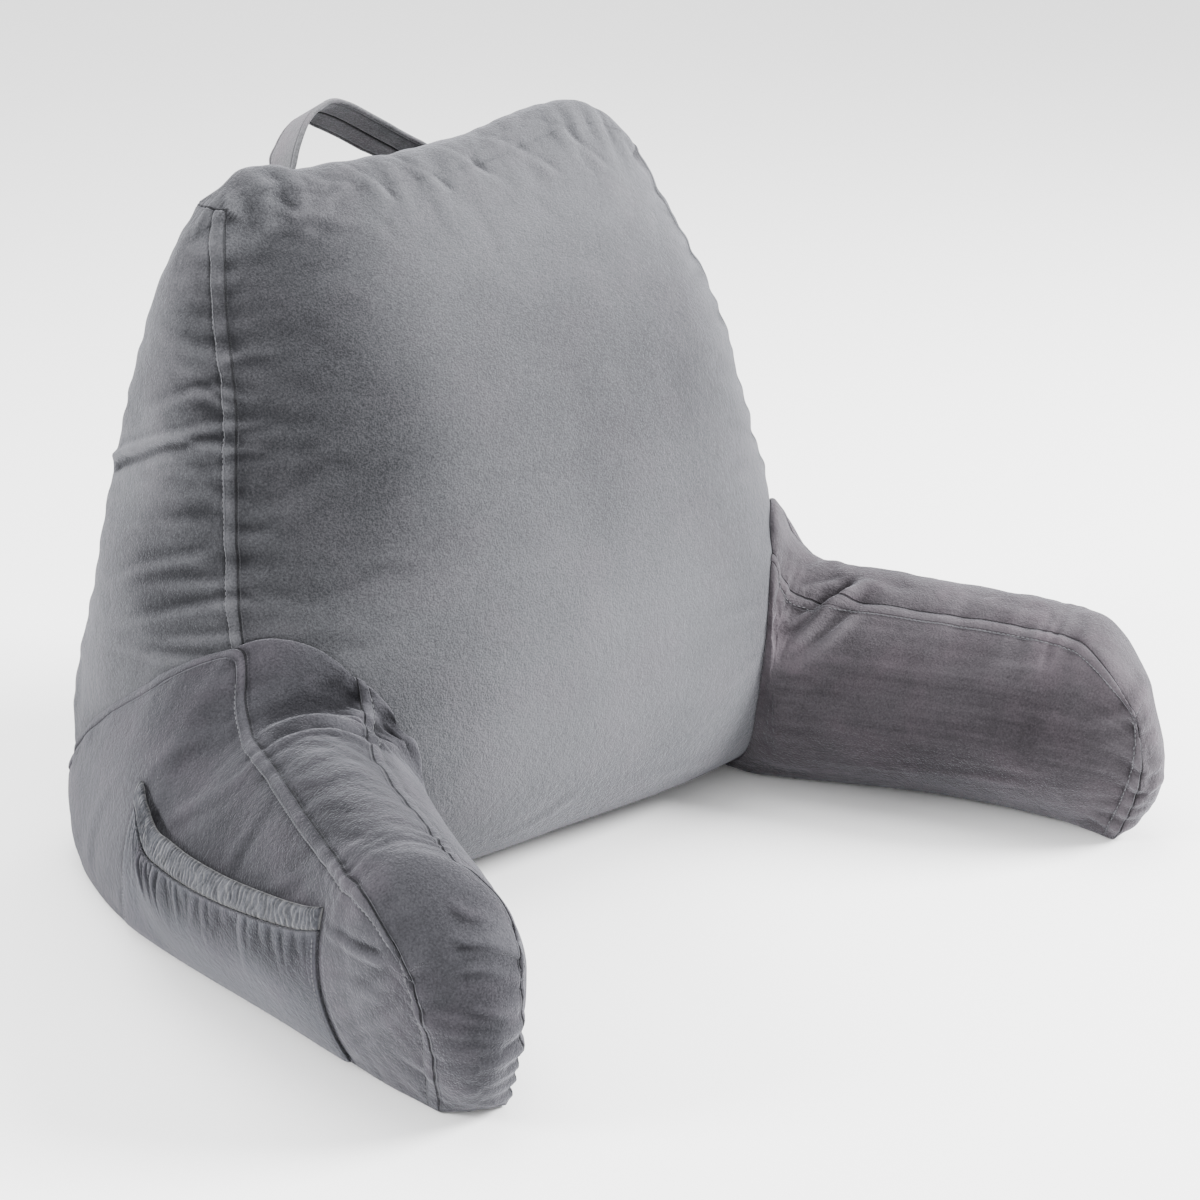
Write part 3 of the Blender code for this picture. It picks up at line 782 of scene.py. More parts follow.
ARM_SEAMS = [
    Seam({1: 0, 2: 1}, 0.55, 0.7, 1.0, (1, 0)),
    Seam({1: 1, 2: 1}, 0.55, 0.6, 1.0, (1, 1)),
    Seam({0: 1, 1: 0}, 0.15, 1.6, 1.0, (1, 0)),
    Seam({0: 1, 1: 1}, 0.15, 1.0, 1.0, (1, 1)),
    Seam({1: 0, 2: 0}, 0.55, 0.5, 0.9, None),
    Seam({1: 1, 2: 0}, 0.55, 0.5, 0.9, None),
    Seam({0: 1, 2: 0}, 0.06, 1.0, 0.9, None),
]
ARM_LEFT_FOLDS = [
    Fold(-0.266, -0.113, 0.155, -0.207, -0.131, 0.164, 0.0085, 0.0064),
    Fold(-0.277, -0.131, 0.150, -0.219, -0.154, 0.153, 0.0060, 0.0052),
    Fold(-0.210, -0.152, 0.148, -0.163, -0.144, 0.139, 0.0070, 0.0050),
    Fold(-0.260, -0.083, 0.161, -0.298, -0.048, 0.129, 0.0090, 0.0016),
    Fold(-0.283, -0.132, 0.146, -0.308, -0.090, 0.110, 0.0080, 0.0016),
    Fold(-0.296, -0.171, 0.146, -0.323, -0.166, 0.113, 0.0080, 0.0014),
    Fold(-0.327, -0.260, 0.143, -0.333, -0.221, 0.110, 0.0060, 0.0011),
    Fold(-0.329, -0.267, 0.142, -0.336, -0.301, 0.144, 0.0045, 0.0012),
    Fold(-0.341, -0.284, 0.110, -0.338, -0.327, 0.105, 0.0045, 0.0032),
    Fold(-0.338, -0.282, 0.071, -0.334, -0.324, 0.078, 0.0060, 0.0011),
    Fold(-0.334, -0.278, 0.051, -0.335, -0.333, 0.088, 0.0060, 0.0010),
    Fold(-0.323, -0.267, 0.022, -0.331, -0.334, 0.071, 0.0060, 0.0011),
    Fold(-0.328, -0.363, 0.071, -0.306, -0.390, 0.067, 0.0045, 0.0014),
    Fold(-0.325, -0.366, 0.063, -0.306, -0.389, 0.055, 0.0045, 0.0012),
    Fold(-0.329, -0.363, 0.080, -0.313, -0.383, 0.081, 0.0045, 0.0011),
    Fold(-0.317, -0.330, 0.024, -0.311, -0.371, 0.027, 0.0050, 0.0012),
    Fold(-0.289, -0.372, 0.130, -0.301, -0.362, 0.139, 0.0036, 0.0014),
    Fold(-0.291, -0.382, 0.118, -0.306, -0.372, 0.125, 0.0036, 0.0014),
    Fold(-0.290, -0.388, 0.102, -0.307, -0.380, 0.108, 0.0036, 0.0014),
    Fold(-0.289, -0.392, 0.081, -0.308, -0.386, 0.084, 0.0036, 0.0014),
    Fold(-0.286, -0.391, 0.060, -0.306, -0.390, 0.061, 0.0036, 0.0014),
    Fold(-0.314, -0.268, 0.006, -0.327, -0.307, 0.041, 0.0045, 0.0012),
    Fold(-0.277, -0.037, 0.163, -0.251, -0.070, 0.188, 0.0080, 0.0011),
    Fold(-0.300, 0.006, 0.106, -0.302, 0.049, 0.033, 0.0090, 0.0010),
]
ARM_RIGHT_FOLDS = [
    Fold(0.156, -0.148, 0.120, 0.220, -0.167, 0.150, 0.0085, 0.0072),
    Fold(0.166, -0.151, 0.142, 0.216, -0.159, 0.149, 0.0060, 0.0046),
    Fold(0.154, -0.154, 0.107, 0.202, -0.179, 0.135, 0.0075, 0.0040),
    Fold(0.183, -0.201, 0.091, 0.263, -0.362, 0.106, 0.0090, 0.0009),
    Fold(0.193, -0.218, 0.066, 0.267, -0.368, 0.084, 0.0090, 0.0009),
    Fold(0.209, -0.231, 0.118, 0.256, -0.321, 0.130, 0.0080, 0.0010),
    Fold(0.188, -0.173, 0.032, 0.243, -0.301, 0.043, 0.0080, 0.0010),
    Fold(0.265, -0.366, 0.099, 0.290, -0.384, 0.116, 0.0060, 0.0016),
    Fold(0.278, -0.382, 0.082, 0.292, -0.392, 0.067, 0.0050, 0.0015),
    Fold(0.290, -0.376, 0.032, 0.302, -0.389, 0.047, 0.0050, 0.0016),
    Fold(0.282, -0.377, 0.056, 0.298, -0.391, 0.059, 0.0045, 0.0015),
    Fold(0.287, -0.311, 0.158, 0.284, -0.351, 0.147, 0.0070, 0.0011),
    Fold(0.196, -0.133, 0.150, 0.224, -0.145, 0.158, 0.0055, 0.0019),
    Fold(0.234, -0.145, 0.161, 0.246, -0.194, 0.159, 0.0070, 0.0011),
    Fold(0.263, -0.238, 0.160, 0.280, -0.289, 0.160, 0.0080, 0.0010),
    Fold(0.269, -0.116, 0.152, 0.219, -0.131, 0.160, 0.0090, 0.0016),
    Fold(0.330, -0.060, 0.110, 0.272, -0.075, 0.165, 0.0070, 0.0011),
]
# The left arm's pile tone, with painted highlights and painted shade in the folds at its root.
ARM_LEFT_NAP_AND_PAINTED_LIGHT = [
    Patch(-0.272, -0.042, 0.170, 0.040, -0.22),
    Patch(-0.227, -0.103, 0.176, 0.040, -0.22),
    Patch(-0.175, -0.141, 0.153, 0.030, 0.07),
    Patch(-0.314, -0.350, 0.143, 0.050, -0.15),
    Patch(-0.314, -0.385, 0.068, 0.040, -0.33),
    Patch(-0.248, -0.108, 0.161, 0.013, -1.00),
    Patch(-0.228, -0.112, 0.167, 0.013, -1.20),
    Patch(-0.208, -0.116, 0.170, 0.012, -1.00),
    Patch(-0.254, -0.126, 0.158, 0.008, -0.90),
    Patch(-0.236, -0.140, 0.158, 0.008, -0.90),
    Patch(-0.196, -0.146, 0.147, 0.011, -1.20),
    Patch(-0.187, -0.160, 0.134, 0.016, 0.70),
    Patch(-0.200, -0.180, 0.134, 0.014, 0.50),
    Patch(-0.178, -0.143, 0.144, 0.010, -0.90),
    Patch(-0.225, -0.136, 0.158, 0.012, 0.37),
    Patch(-0.190, -0.135, 0.150, 0.012, 0.37),
    Patch(-0.328, -0.365, 0.090, 0.030, -0.07),
    Patch(-0.299, -0.245, 0.160, 0.050, -0.85),
    Patch(-0.252, -0.163, 0.163, 0.045, -0.50),
    Patch(-0.205, -0.185, 0.125, 0.030, -0.40),
    Patch(-0.312, -0.148, 0.124, 0.045, -0.52),
    Patch(-0.293, -0.059, 0.132, 0.045, -0.22),
    Patch(-0.303, -0.380, 0.113, 0.030, -0.07),
    Patch(-0.335, -0.293, 0.064, 0.030, 0.72),
    Patch(-0.322, -0.278, 0.020, 0.020, 0.37),
    Patch(-0.339, -0.297, 0.132, 0.030, 0.22),
    Patch(-0.305, -0.040, 0.114, 0.030, 0.07),
    Patch(-0.302, 0.032, 0.076, 0.030, 0.22),
    Patch(-0.313, 0.006, 0.029, 0.030, 0.22),
    Patch(-0.203, -0.166, 0.140, 0.020, -0.22),
    Patch(-0.282, -0.378, 0.124, 0.015, 0.67),
    Patch(-0.284, -0.392, 0.079, 0.012, 0.59),
    Patch(-0.251, -0.322, 0.126, 0.020, 0.22),
]
# The right arm's pile tone, with painted highlights on the ridge at its root and along its top, and painted
# shade low on its inner panel.
ARM_RIGHT_NAP_AND_PAINTED_LIGHT = [
    Patch(0.170, -0.170, 0.054, 0.050, -0.37),
    Patch(0.248, -0.344, 0.087, 0.045, -0.44),
    Patch(0.220, -0.260, 0.050, 0.045, -0.30),
    Patch(0.208, -0.235, 0.051, 0.050, -0.30),
    Patch(0.234, -0.315, 0.077, 0.050, -0.30),
    Patch(0.271, -0.367, 0.064, 0.040, -0.22),
    Patch(0.158, -0.150, 0.121, 0.012, 1.20),
    Patch(0.172, -0.160, 0.126, 0.012, 1.20),
    Patch(0.189, -0.169, 0.131, 0.012, 1.00),
    Patch(0.205, -0.172, 0.137, 0.012, 0.52),
    Patch(0.195, -0.160, 0.144, 0.010, -0.90),
    Patch(0.168, -0.160, 0.110, 0.015, 0.30),
    Patch(0.229, -0.181, 0.152, 0.030, 0.22),
    Patch(0.259, -0.232, 0.159, 0.030, 0.59),
    Patch(0.280, -0.308, 0.155, 0.030, 0.67),
    Patch(0.288, -0.366, 0.139, 0.025, 0.52),
    Patch(0.309, -0.390, 0.076, 0.020, 0.44),
    Patch(0.212, -0.228, 0.123, 0.040, -0.07),
]
SEAT_GAP = 0.0006
KEPT_ON_COVERS = ("crest", "to_seam", "along_seam", "gather", "line", "to_stitching", "nap", "panel")
ARM_SPREAD = 0.013


def arm_form(side, spread):
    """The form of one arm: u from its rear end to its tip, v from its inner side out, w up."""

    def form(place):
        u, v, w = pocket_lines(place)
        tip_share = np.maximum(u * TIP - SHOULDER, 0.0)
        height_share = w * (1 - ARM_TIP_ROUNDING * (1 - np.sqrt(1 - tip_share**2 / 2)))
        tip_share = tip_share * (1 - ARM_TIP_ROUNDING * (1 - np.sqrt(1 - w**2 / 2)))
        station = np.where(tip_share > 0, SHOULDER + tip_share, u * TIP)
        row = row_at(STATIONS, station, calm=True)
        shift = spread * (station / TIP) ** 2
        inner_foot = vectors(row.foot_in_x + shift, row.foot_in_y, 0)
        outer_foot = vectors(row.foot_out_x + shift, row.foot_out_y, 0)
        inner_seam = vectors(row.inner_x, row.inner_y, 0)
        outer_seam = vectors(row.outer_x, row.outer_y, 0)
        outwards = unit(outer_seam - inner_seam)
        lean_in = 1 - (1 - height_share) ** 2
        lean_out = height_share**ARM_LEANS_OUT * (1 - tip_share) + lean_in * tip_share
        fullness = np.sin(math.pi * np.clip(height_share, 0.0, 1.0))
        swell = (fullness**ARM_FULLNESS * (1 - tip_share**3))[:, None]
        inner = inner_foot + (inner_seam - inner_foot) * lean_in[:, None]
        inner -= outwards * row.swell_in[:, None] * swell
        outer = outer_foot + (outer_seam - outer_foot) * lean_out[:, None]
        outer += outwards * row.swell_out[:, None] * swell
        forwards = vectors(outwards[:, 1], -outwards[:, 0], 0)
        middle = arch(v)
        tip_crown = ARM_TIP_CROWN * middle * np.sqrt(fullness) * tip_share**4
        flat = inner + (outer - inner) * v[:, None] + forwards * tip_crown[:, None]
        seam_height = row.inner_z + (row.outer_z - row.inner_z) * v
        z = height_share * seam_height + ARM_STRIP_CROWN * middle * w**8
        return vectors(side * flat[:, 0], flat[:, 1], z)

    return form


# The outer panel's own lines follow the pocket's mouth and side seams, as fractions of its grid.
POCKET_REAR = 8 / 30
POCKET_FRONT = 25 / 30
POCKET_TOP = 6 / 12
BAND_TOP = 8 / 12
BAND_WIDTH = 0.0155
POCKET_REAR_RAKE = -0.5
POCKET_FRONT_RAKE = -0.2

# The pocket's mouth, from its rear at 0 to its front at 1, and how high it lies there.
MouthPoint = namedtuple("MouthPoint", "along height")
MOUTH = [
    MouthPoint(0.00, 0.112),
    MouthPoint(0.15, 0.101),
    MouthPoint(0.35, 0.094),
    MouthPoint(0.55, 0.096),
    MouthPoint(0.75, 0.103),
    MouthPoint(1.00, 0.122),
]


def pocket_lines(place):
    """The places of an arm, shifted on the outer panel to where the pocket's edges lie."""
    u, v, w = place.T
    ends = [0.0, POCKET_REAR, POCKET_FRONT, 1.0]
    reach = np.interp(u, [0.0, POCKET_REAR, POCKET_FRONT, SHOULDER / TIP, 1.0], [0.0, 1.0, 1.0, 0.4, 0.0])
    height = smooth(range(len(STATIONS)), [row.outer_z for row in STATIONS], u * TIP)
    f = np.interp(u, ends, [0.0, 0.0, 1.0, 1.0])
    mouth = smooth(*zip(*MOUTH), f) / height
    foot = mouth - BAND_WIDTH / height
    lower = w / POCKET_TOP * foot
    middle = foot + (w - POCKET_TOP) / (BAND_TOP - POCKET_TOP) * (mouth - foot)
    upper = mouth + (w - BAND_TOP) / (1 - BAND_TOP) * (1 - mouth)
    follow = np.where(w <= POCKET_TOP, lower, np.where(w <= BAND_TOP, middle, upper))
    w_moved = w + (follow - w) * reach * v
    rake = np.interp(u, ends, [0.0, POCKET_REAR_RAKE, POCKET_FRONT_RAKE, 0.0])
    u_moved = u + rake / TIP * np.maximum(1 - w / POCKET_TOP, 0.0) * v
    return u_moved, v, w_moved


def fit_against(piece, neighbour, gap):
    """Cuts the piece's cover off where it would reach into the neighbour, which presses on it there.
    What was kept for its points goes on to the points of the cut cover that are nearest."""
    seat = placed("seat", neighbour.data.copy())
    move_points(seat.data, points_of(seat.data) + normals_of(seat.data) * gap)
    uncut = piece.data
    mesh = remade(piece, "BOOLEAN", object=seat, operation="DIFFERENCE", solver="MANIFOLD")
    bpy.data.objects.remove(seat)
    tree = KDTree(len(uncut.vertices))
    for number, point in enumerate(points_of(uncut)):
        tree.insert(point, number)
    tree.balance()
    nearest = [tree.find(point)[1] for point in points_of(mesh)]
    keep(mesh, **{name: kept(uncut, name)[nearest] for name in KEPT_ON_COVERS})
    mesh.materials.clear()
    mesh.polygons.foreach_set("material_index", np.zeros(len(mesh.polygons), np.int32))


def under_pocket(place):
    """Where the pocket lies on the outer panel of the left arm."""
    u, v, w = place.T
    behind = np.abs(u - (POCKET_REAR + POCKET_FRONT) / 2) < (POCKET_FRONT - POCKET_REAR) / 2 + 0.01
    return behind & (v > LAST) & (w < BAND_TOP)


def nowhere(place):
    """Nothing covers this piece."""
    return np.zeros(len(place), bool)


# The arms' velour is a darker copy of the backrest's: partly the cloth's own ash and plum tints, partly
# painted shade for pieces that take less of the light.
DEEP_ASH = (0.0080, 0.0079, 0.0096, 1.0)
PALE_ASH = (0.066, 0.0655, 0.0740, 1.0)
DEEP_PLUM = (0.0120, 0.0103, 0.0122, 1.0)
PALE_PLUM = (0.078, 0.0710, 0.079, 1.0)
left_form = arm_form(-1, -ARM_SPREAD)
right_form = arm_form(1, ARM_SPREAD)
covers = {}
for name, form, folds, nap, covered, streaked, shades in (
    ("arm_left", left_form, ARM_LEFT_FOLDS, ARM_LEFT_NAP_AND_PAINTED_LIGHT, under_pocket, 0.10, (DEEP_ASH, PALE_ASH)),
    ("arm_right", right_form, ARM_RIGHT_FOLDS, ARM_RIGHT_NAP_AND_PAINTED_LIGHT, nowhere, 0.65, (DEEP_PLUM, PALE_PLUM)),
):
    arm = covers[name] = cover_block(name + "_cover", (130, 22, 44), form)
    dress(arm, form, ARM_SEAMS, folds, nap, (0.55, 0.08, 0.18), covered)
    fit_against(arm, backrest, SEAT_GAP)
    arm.data.materials.append(velour("velour_" + name, *shades, 0.34, streaked, (8.0, 60.0, 110.0)))
    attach(arm, "root")
    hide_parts(name)

# ------------------------------------------------------------------------------------------------
# The side pocket: one layer of the same velour, sewn to the outer panel of the left arm along its
# floor edge and its two sides, and gathered under the binding along its mouth.
POCKET_THICKNESS = 0.0022
POCKET_GAP = 0.0006
POCKET_STANDOFF = 0.0095
POCKET_FOOT = 0.04
POCKET_FULLNESS = 1.6
POCKET_LENGTH = 0.255
GATHER_PITCH = 0.0085
GATHER_DEPTH = 0.0044
GATHER_DRIFT = 1.6
GATHER_REACH = 0.34
GATHER_REACH_VARIES = 0.55
REAR_REACHES_FURTHER = 0.12
GATHER_PINCH = 0.62
GATHER_PINCH_REACH = 0.07
POCKET_SLACK = 0.0016
POCKET_EDGE_ROUNDING = 0.005


def outer_panel(u, w, stand_off):
    """Points at a distance out from the left arm's outer panel."""
    step = 0.002

    def at(du, dw):
        """The panel a little further on."""
        return left_form(vectors(u + du, 1, w + dw))

    outwards = unit(np.cross(at(step, 0) - at(-step, 0), at(0, step) - at(0, -step)))
    outwards *= -np.sign(outwards[:, :1])
    return at(0, 0) + outwards * stand_off[:, None]


def mouth_standoff(f):
    """How far the pocket stands off the arm along its mouth."""
    return POCKET_STANDOFF * arch(f) ** 0.7


def pocket_form(place):
    """The pocket: f from its rear to its front, v from the floor to the binding, layer outwards."""
    f, v, layer = place.T
    u = POCKET_REAR + (POCKET_FRONT - POCKET_REAR) * f
    w = POCKET_FOOT + (POCKET_TOP - POCKET_FOOT) * v
    metres = f * POCKET_LENGTH
    drift = uneven(vectors(metres * 38, v * 1.2, 0), (1.5, 0.2, 3.3))
    each = metres / GATHER_PITCH + GATHER_DRIFT * drift
    reach = uneven(vectors(each * 0.9, 0, 0), (8.1, 4.4, 2.0)) * GATHER_REACH_VARIES + GATHER_REACH
    reach += REAR_REACHES_FURTHER * (1 - f)
    below_binding = np.clip((v - 1 + reach) / np.maximum(reach, 0.05), 0, 1) ** 1.3
    wave = np.abs(np.sin(math.pi * each)) ** 0.7 * (0.8 + drift) * (1.25 - 0.5 * f)
    soft = uneven(vectors(metres * 16, v * 1.7, 0), (3.0, 5.0, 7.0)) * 0.5 + 0.5
    ends = np.clip(2 * arch(f), 0, 1)
    off = POCKET_GAP + mouth_standoff(f) * v**POCKET_FULLNESS + POCKET_SLACK * soft * ends * v
    pinched = 1 - GATHER_PINCH * bell(1 - v, GATHER_PINCH_REACH)
    off += GATHER_DEPTH * wave * below_binding * ends * pinched
    from_side = POCKET_LENGTH * np.minimum(f, 1 - f)
    turned_in = 0.3 + 0.7 * np.clip(from_side / POCKET_EDGE_ROUNDING, 0, 1) ** 0.5
    return outer_panel(u, w, off + POCKET_THICKNESS * turned_in * layer)


pocket = cover_block("pocket_cloth", (230, 60, 1), pocket_form)
pocket_place = kept(pocket.data, "place")
to_edge = POCKET_LENGTH * np.minimum(pocket_place[:, 0], 1 - pocket_place[:, 0])
# The pocket's pile tone, paler low down, with painted shade just under the binding.
POCKET_NAP_AND_PAINTED_LIGHT = [
    Patch(-0.330, -0.160, 0.030, 0.060, 0.52),
    Patch(-0.325, -0.060, 0.020, 0.040, 0.22),
    Patch(-0.335, -0.240, 0.040, 0.030, 0.22),
    Patch(-0.325, -0.100, 0.075, 0.035, -0.67),
    Patch(-0.335, -0.170, 0.075, 0.030, -0.52),
    Patch(-0.340, -0.230, 0.078, 0.025, -0.44),
    Patch(-0.336, -0.204, 0.050, 0.028, 0.30),
]
POCKET_CREST_ROUNDS = 24
# The pocket's crest drives the cloth's painted light: its gathers' relief, made stronger, paints highlights
# on their ridges and shade in their hollows, and a fall just under the binding paints shade there.
GATHER_CREST = 2.2
PAINTED_SHADE_DEPTH_UNDER_BINDING = 0.8
POCKET_HEIGHT = 0.09
SEAM_LINE = 0.0005
pocket_points = points_of(pocket.data)
gathers = relief(pocket.data, pocket_points, pocket_points * 0, POCKET_CREST_ROUNDS)
# Painted shade on the pocket just under its binding.
painted_shade_under_binding = np.clip(pocket_place[:, 1] * 2.5 - 1.1, 0, 1)
keep(
    pocket.data,
    to_seam=np.minimum(to_edge + SEAM_LINE, (1 - pocket_place[:, 1]) * POCKET_HEIGHT + SEAM_LINE),
    along_seam=pocket_place[:, 0] * POCKET_LENGTH,
    gather=pocket_place[:, 1] * 0.8,
    line=np.full(len(pocket_place), 0.8),
    to_stitching=np.full(len(pocket_place), FAR_FROM_SEAMS),
    nap=pile_and_painted_light(pocket_points, POCKET_NAP_AND_PAINTED_LIGHT),
    crest=np.clip(gathers * GATHER_CREST - PAINTED_SHADE_DEPTH_UNDER_BINDING * painted_shade_under_binding, -1, 1),
    panel=pocket_place * np.array([POCKET_LENGTH, 0.002, POCKET_HEIGHT]),
)
# The pocket's and the binding's velour, a darker copy of the backrest's: partly the cloth's own tint,
# partly painted shade.
DEEP_SLATE = (0.0085, 0.0089, 0.0110, 1.0)
PALE_SLATE = (0.068, 0.0702, 0.0800, 1.0)
pocket_velour = velour("velour_pocket", DEEP_SLATE, PALE_SLATE, 0.36, 0.14, (30.0, 10.0, 12.0))
pocket.data.materials.append(pocket_velour)
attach(pocket, "root")
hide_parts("pocket")

# ------------------------------------------------------------------------------------------------
# The pocket's binding: a strip of velour folded over an elastic and stretched as it was sewn, so
# that it draws up into fine ribs across its width.
BAND_THICKNESS = 0.0042
BAND_GAP = 0.0004
BAND_EDGE_THINNING = 0.55
BAND_LENGTH = 0.262
RIB_PITCH = 0.0036
RIB_HEIGHT = 0.0011
RIB_SHADES_PER_METRE = 420.0
RIB_MOTTLE_PER_METRE = 90.0


def band_form(place):
    """The binding: f from its rear to its front, v from its lower edge to the mouth, layer outwards."""
    f, v, layer = place.T
    u = POCKET_REAR + (POCKET_FRONT - POCKET_REAR) * f
    share = BAND_GAP / BAND_WIDTH
    w = POCKET_TOP + (BAND_TOP - POCKET_TOP) * (share + (1 - share) * v)
    metres = f * BAND_LENGTH
    drift = uneven(vectors(metres * 60, v * 1.5, 0), (2.2, 6.1, 0.4))
    rib = np.abs(np.sin(math.pi * (metres / RIB_PITCH + 2.2 * drift)))
    rib = rib * (0.6 + 0.9 * np.abs(drift)) * (1 - 0.5 * (2 * v - 1) ** 4)
    thickness = (BAND_THICKNESS - RIB_HEIGHT) * (1 - BAND_EDGE_THINNING * (2 * v - 1) ** 4)
    thickness = thickness + RIB_HEIGHT * rib
    return outer_panel(u, w, POCKET_GAP + mouth_standoff(f) + thickness * layer)


band = cover_block("pocket_binding", (440, 14, 1), band_form)
band_place = kept(band.data, "place")
band_points = points_of(band.data)
keep(
    band.data,
    along_ribs=band_place[:, 0] * BAND_LENGTH,
    across_band=band_place[:, 1],
    crest=relief(band.data, band_points, band_points * 0, 3),
)


def ribbed_binding(name, deep, pale):
    """Gathered velour: painted light along the ribs and painted shade between them and at its edges."""
    cloth = Cloth(name)
    here = cloth.here()
    grain = cloth.speckle(here, GRAIN_PER_METRE, 3.0, 0.65)
    mottle = cloth.speckle(here, RIB_MOTTLE_PER_METRE, 3.0, 0.6)
    across = cloth.kept("across_band")
    along = cloth.kept("along_ribs") * RIB_SHADES_PER_METRE
    where = cloth.node("ShaderNodeCombineXYZ", {}, [along, across * 1.6, 0.0])
    rib = cloth.speckle(where, 1.0, 1.0, 0.4)
    crest = cloth.kept("crest")
    # Painted shade along both edges of the binding, and painted light where its crest stands out.
    edge = cloth.ramp(abs(across - 0.5), 0.38, 0.49)
    pale_share = 0.5 + (rib - 0.5) * 0.7 + (grain - 0.5) + (mottle - 0.5) * 0.7 + crest * 0.3 - edge * 0.3
    cloth.surface(
        {
            "Base Color": cloth.blend(cloth.ramp(pale_share, 0.0, 1.0), deep, pale),
            "Roughness": 0.93,
            "Sheen Weight": 0.30,
            "Sheen Roughness": 0.40,
            "Specular IOR Level": 0.10,
        }
    )
    cloth.bump(rib * 0.8 + grain * 0.3, PILE_HEIGHT)
    return cloth.material


band.data.materials.append(ribbed_binding("binding_velour", DEEP_SLATE, PALE_SLATE))
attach(band, "root")
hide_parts("pocket_band")

# ------------------------------------------------------------------------------------------------
# The carrying strap: a strip of velour folded in on itself, closed along the middle of its inner
# side and topstitched along both edges. Its two feet are sewn flat to the back panel.
STRAP_WIDTH = 0.035
STRAP_THICKNESS = 0.0035
STRAP_LENGTH = 0.30
STRAP_EDGE_STITCH = 0.0035
STRAP_EDGE_ROUNDING = 0.0016
STRAP_CLOSING_WIDTH = 0.0011

# The strap's middle line from its left foot to its right one, and which way its width lies.
StrapPoint = namedtuple("StrapPoint", "x y z width_x width_y width_z")
STRAP = [
    StrapPoint(-0.083, 0.0929, 0.3946, 1.00, 0.05, 0.00),
    StrapPoint(-0.083, 0.0888, 0.4100, 1.00, 0.05, 0.00),
    StrapPoint(-0.083, 0.0870, 0.4250, 1.00, 0.04, 0.00),
    StrapPoint(-0.085, 0.0930, 0.4460, 0.85, 0.50, 0.00),
    StrapPoint(-0.087, 0.0960, 0.4730, 0.10, 0.99, -0.12),
    StrapPoint(-0.080, 0.0980, 0.4880, 0.09, 0.98, -0.20),
    StrapPoint(-0.068, 0.1010, 0.5010, 0.02, 0.92, -0.38),
    StrapPoint(-0.052, 0.1040, 0.5070, -0.24, 0.84, -0.48),
    StrapPoint(-0.036, 0.1050, 0.5020, -0.38, 0.77, -0.52),
    StrapPoint(-0.018, 0.1060, 0.4930, -0.42, 0.77, -0.47),
    StrapPoint(0.002, 0.1070, 0.4820, -0.45, 0.77, -0.45),
    StrapPoint(0.024, 0.1050, 0.4690, -0.50, 0.80, -0.34),
    StrapPoint(0.043, 0.0930, 0.4480, -0.85, 0.52, -0.10),
    StrapPoint(0.055, 0.0880, 0.4310, -1.00, 0.02, -0.10),
    StrapPoint(0.059, 0.0894, 0.4156, -1.00, 0.03, -0.08),
    StrapPoint(0.060, 0.0935, 0.3992, -1.00, 0.03, -0.06),
]


def strap_form(place):
    """The strap: u from its left foot to its right one, v across its width, layer through it."""
    u, v, layer = place.T
    at = u * (len(STRAP) - 1)
    row, ahead, behind = (row_at(STRAP, at + shift) for shift in (0, 0.01, -0.01))
    tangent = unit(vectors(*ahead[:3]) - vectors(*behind[:3]))
    width = vectors(*row[3:])
    width = unit(width - tangent * (width * tangent).sum(axis=1, keepdims=True))
    outwards = np.cross(tangent, width)
    from_edge = STRAP_WIDTH * np.minimum(v, 1 - v)
    full = np.clip(from_edge / STRAP_EDGE_ROUNDING, 0, 1) ** 0.5
    pressed = bell(from_edge - STRAP_EDGE_STITCH, 0.0009)
    closing = bell(STRAP_WIDTH * (v - 0.5), STRAP_CLOSING_WIDTH) * (layer < 0.5)
    thickness = STRAP_THICKNESS * (0.35 + 0.65 * full - 0.28 * pressed - 0.45 * closing)
    off = thickness * (layer - 0.5)
    return vectors(*row[:3]) + width * (STRAP_WIDTH * (v - 0.5))[:, None] + outwards * off[:, None]


strap = cover_block("carrying_strap", (150, 56, 1), strap_form)
strap_place = kept(strap.data, "place")
across_strap = STRAP_WIDTH * (strap_place[:, 1] - 0.5)
keep(
    strap.data,
    to_seam=np.abs(across_strap) + 0.01 * (strap_place[:, 2] > 0.5),
    along_seam=strap_place[:, 0] * STRAP_LENGTH,
    gather=np.full(len(strap_place), 0.5),
    line=np.ones(len(strap_place)),
    to_stitching=STRAP_WIDTH / 2 - STRAP_EDGE_STITCH - np.abs(across_strap),
    nap=0.6 - 0.5 * (strap_place[:, 2] < 0.5),
    panel=strap_place * np.array([STRAP_LENGTH, STRAP_WIDTH, 0.003]),
)
PALE_STRAP = (0.130, 0.131, 0.138, 1.0)
strap_velour = velour("velour_strap", DEEP_GREY, PALE_STRAP, 0.50, 0.20, (40.0, 150.0, 10.0))
strap.data.materials.append(strap_velour)
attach(strap, "root")
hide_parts("handle")

# ------------------------------------------------------------------------------------------------
# The topstitching: grey polyester thread in a plain lockstitch, along the lapped welts, along both
# edges of the strap and twice across each of its feet, and up the pocket's two sides.
STITCH_PITCH = 0.0036
STITCH_LENGTH = 0.0027
THREAD_WIDTH = 0.0007
THREAD_COLOUR = (0.10, 0.102, 0.112, 1.0)
TWIST_PER_METRE = 1500.0
POINTS_A_LINE = 90
LAID_WITHIN = 0.008
THREAD_STANDS_UP = 0.2


def skin_of(piece):
    """The piece's surface, to find the nearest place on it."""
    polygons = [tuple(face.vertices) for face in piece.data.polygons]
    return BVHTree.FromPolygons([Vector(point) for point in points_of(piece.data)], polygons)


skins = {piece: skin_of(piece) for piece in (backrest, covers["arm_left"], covers["arm_right"], pocket)}


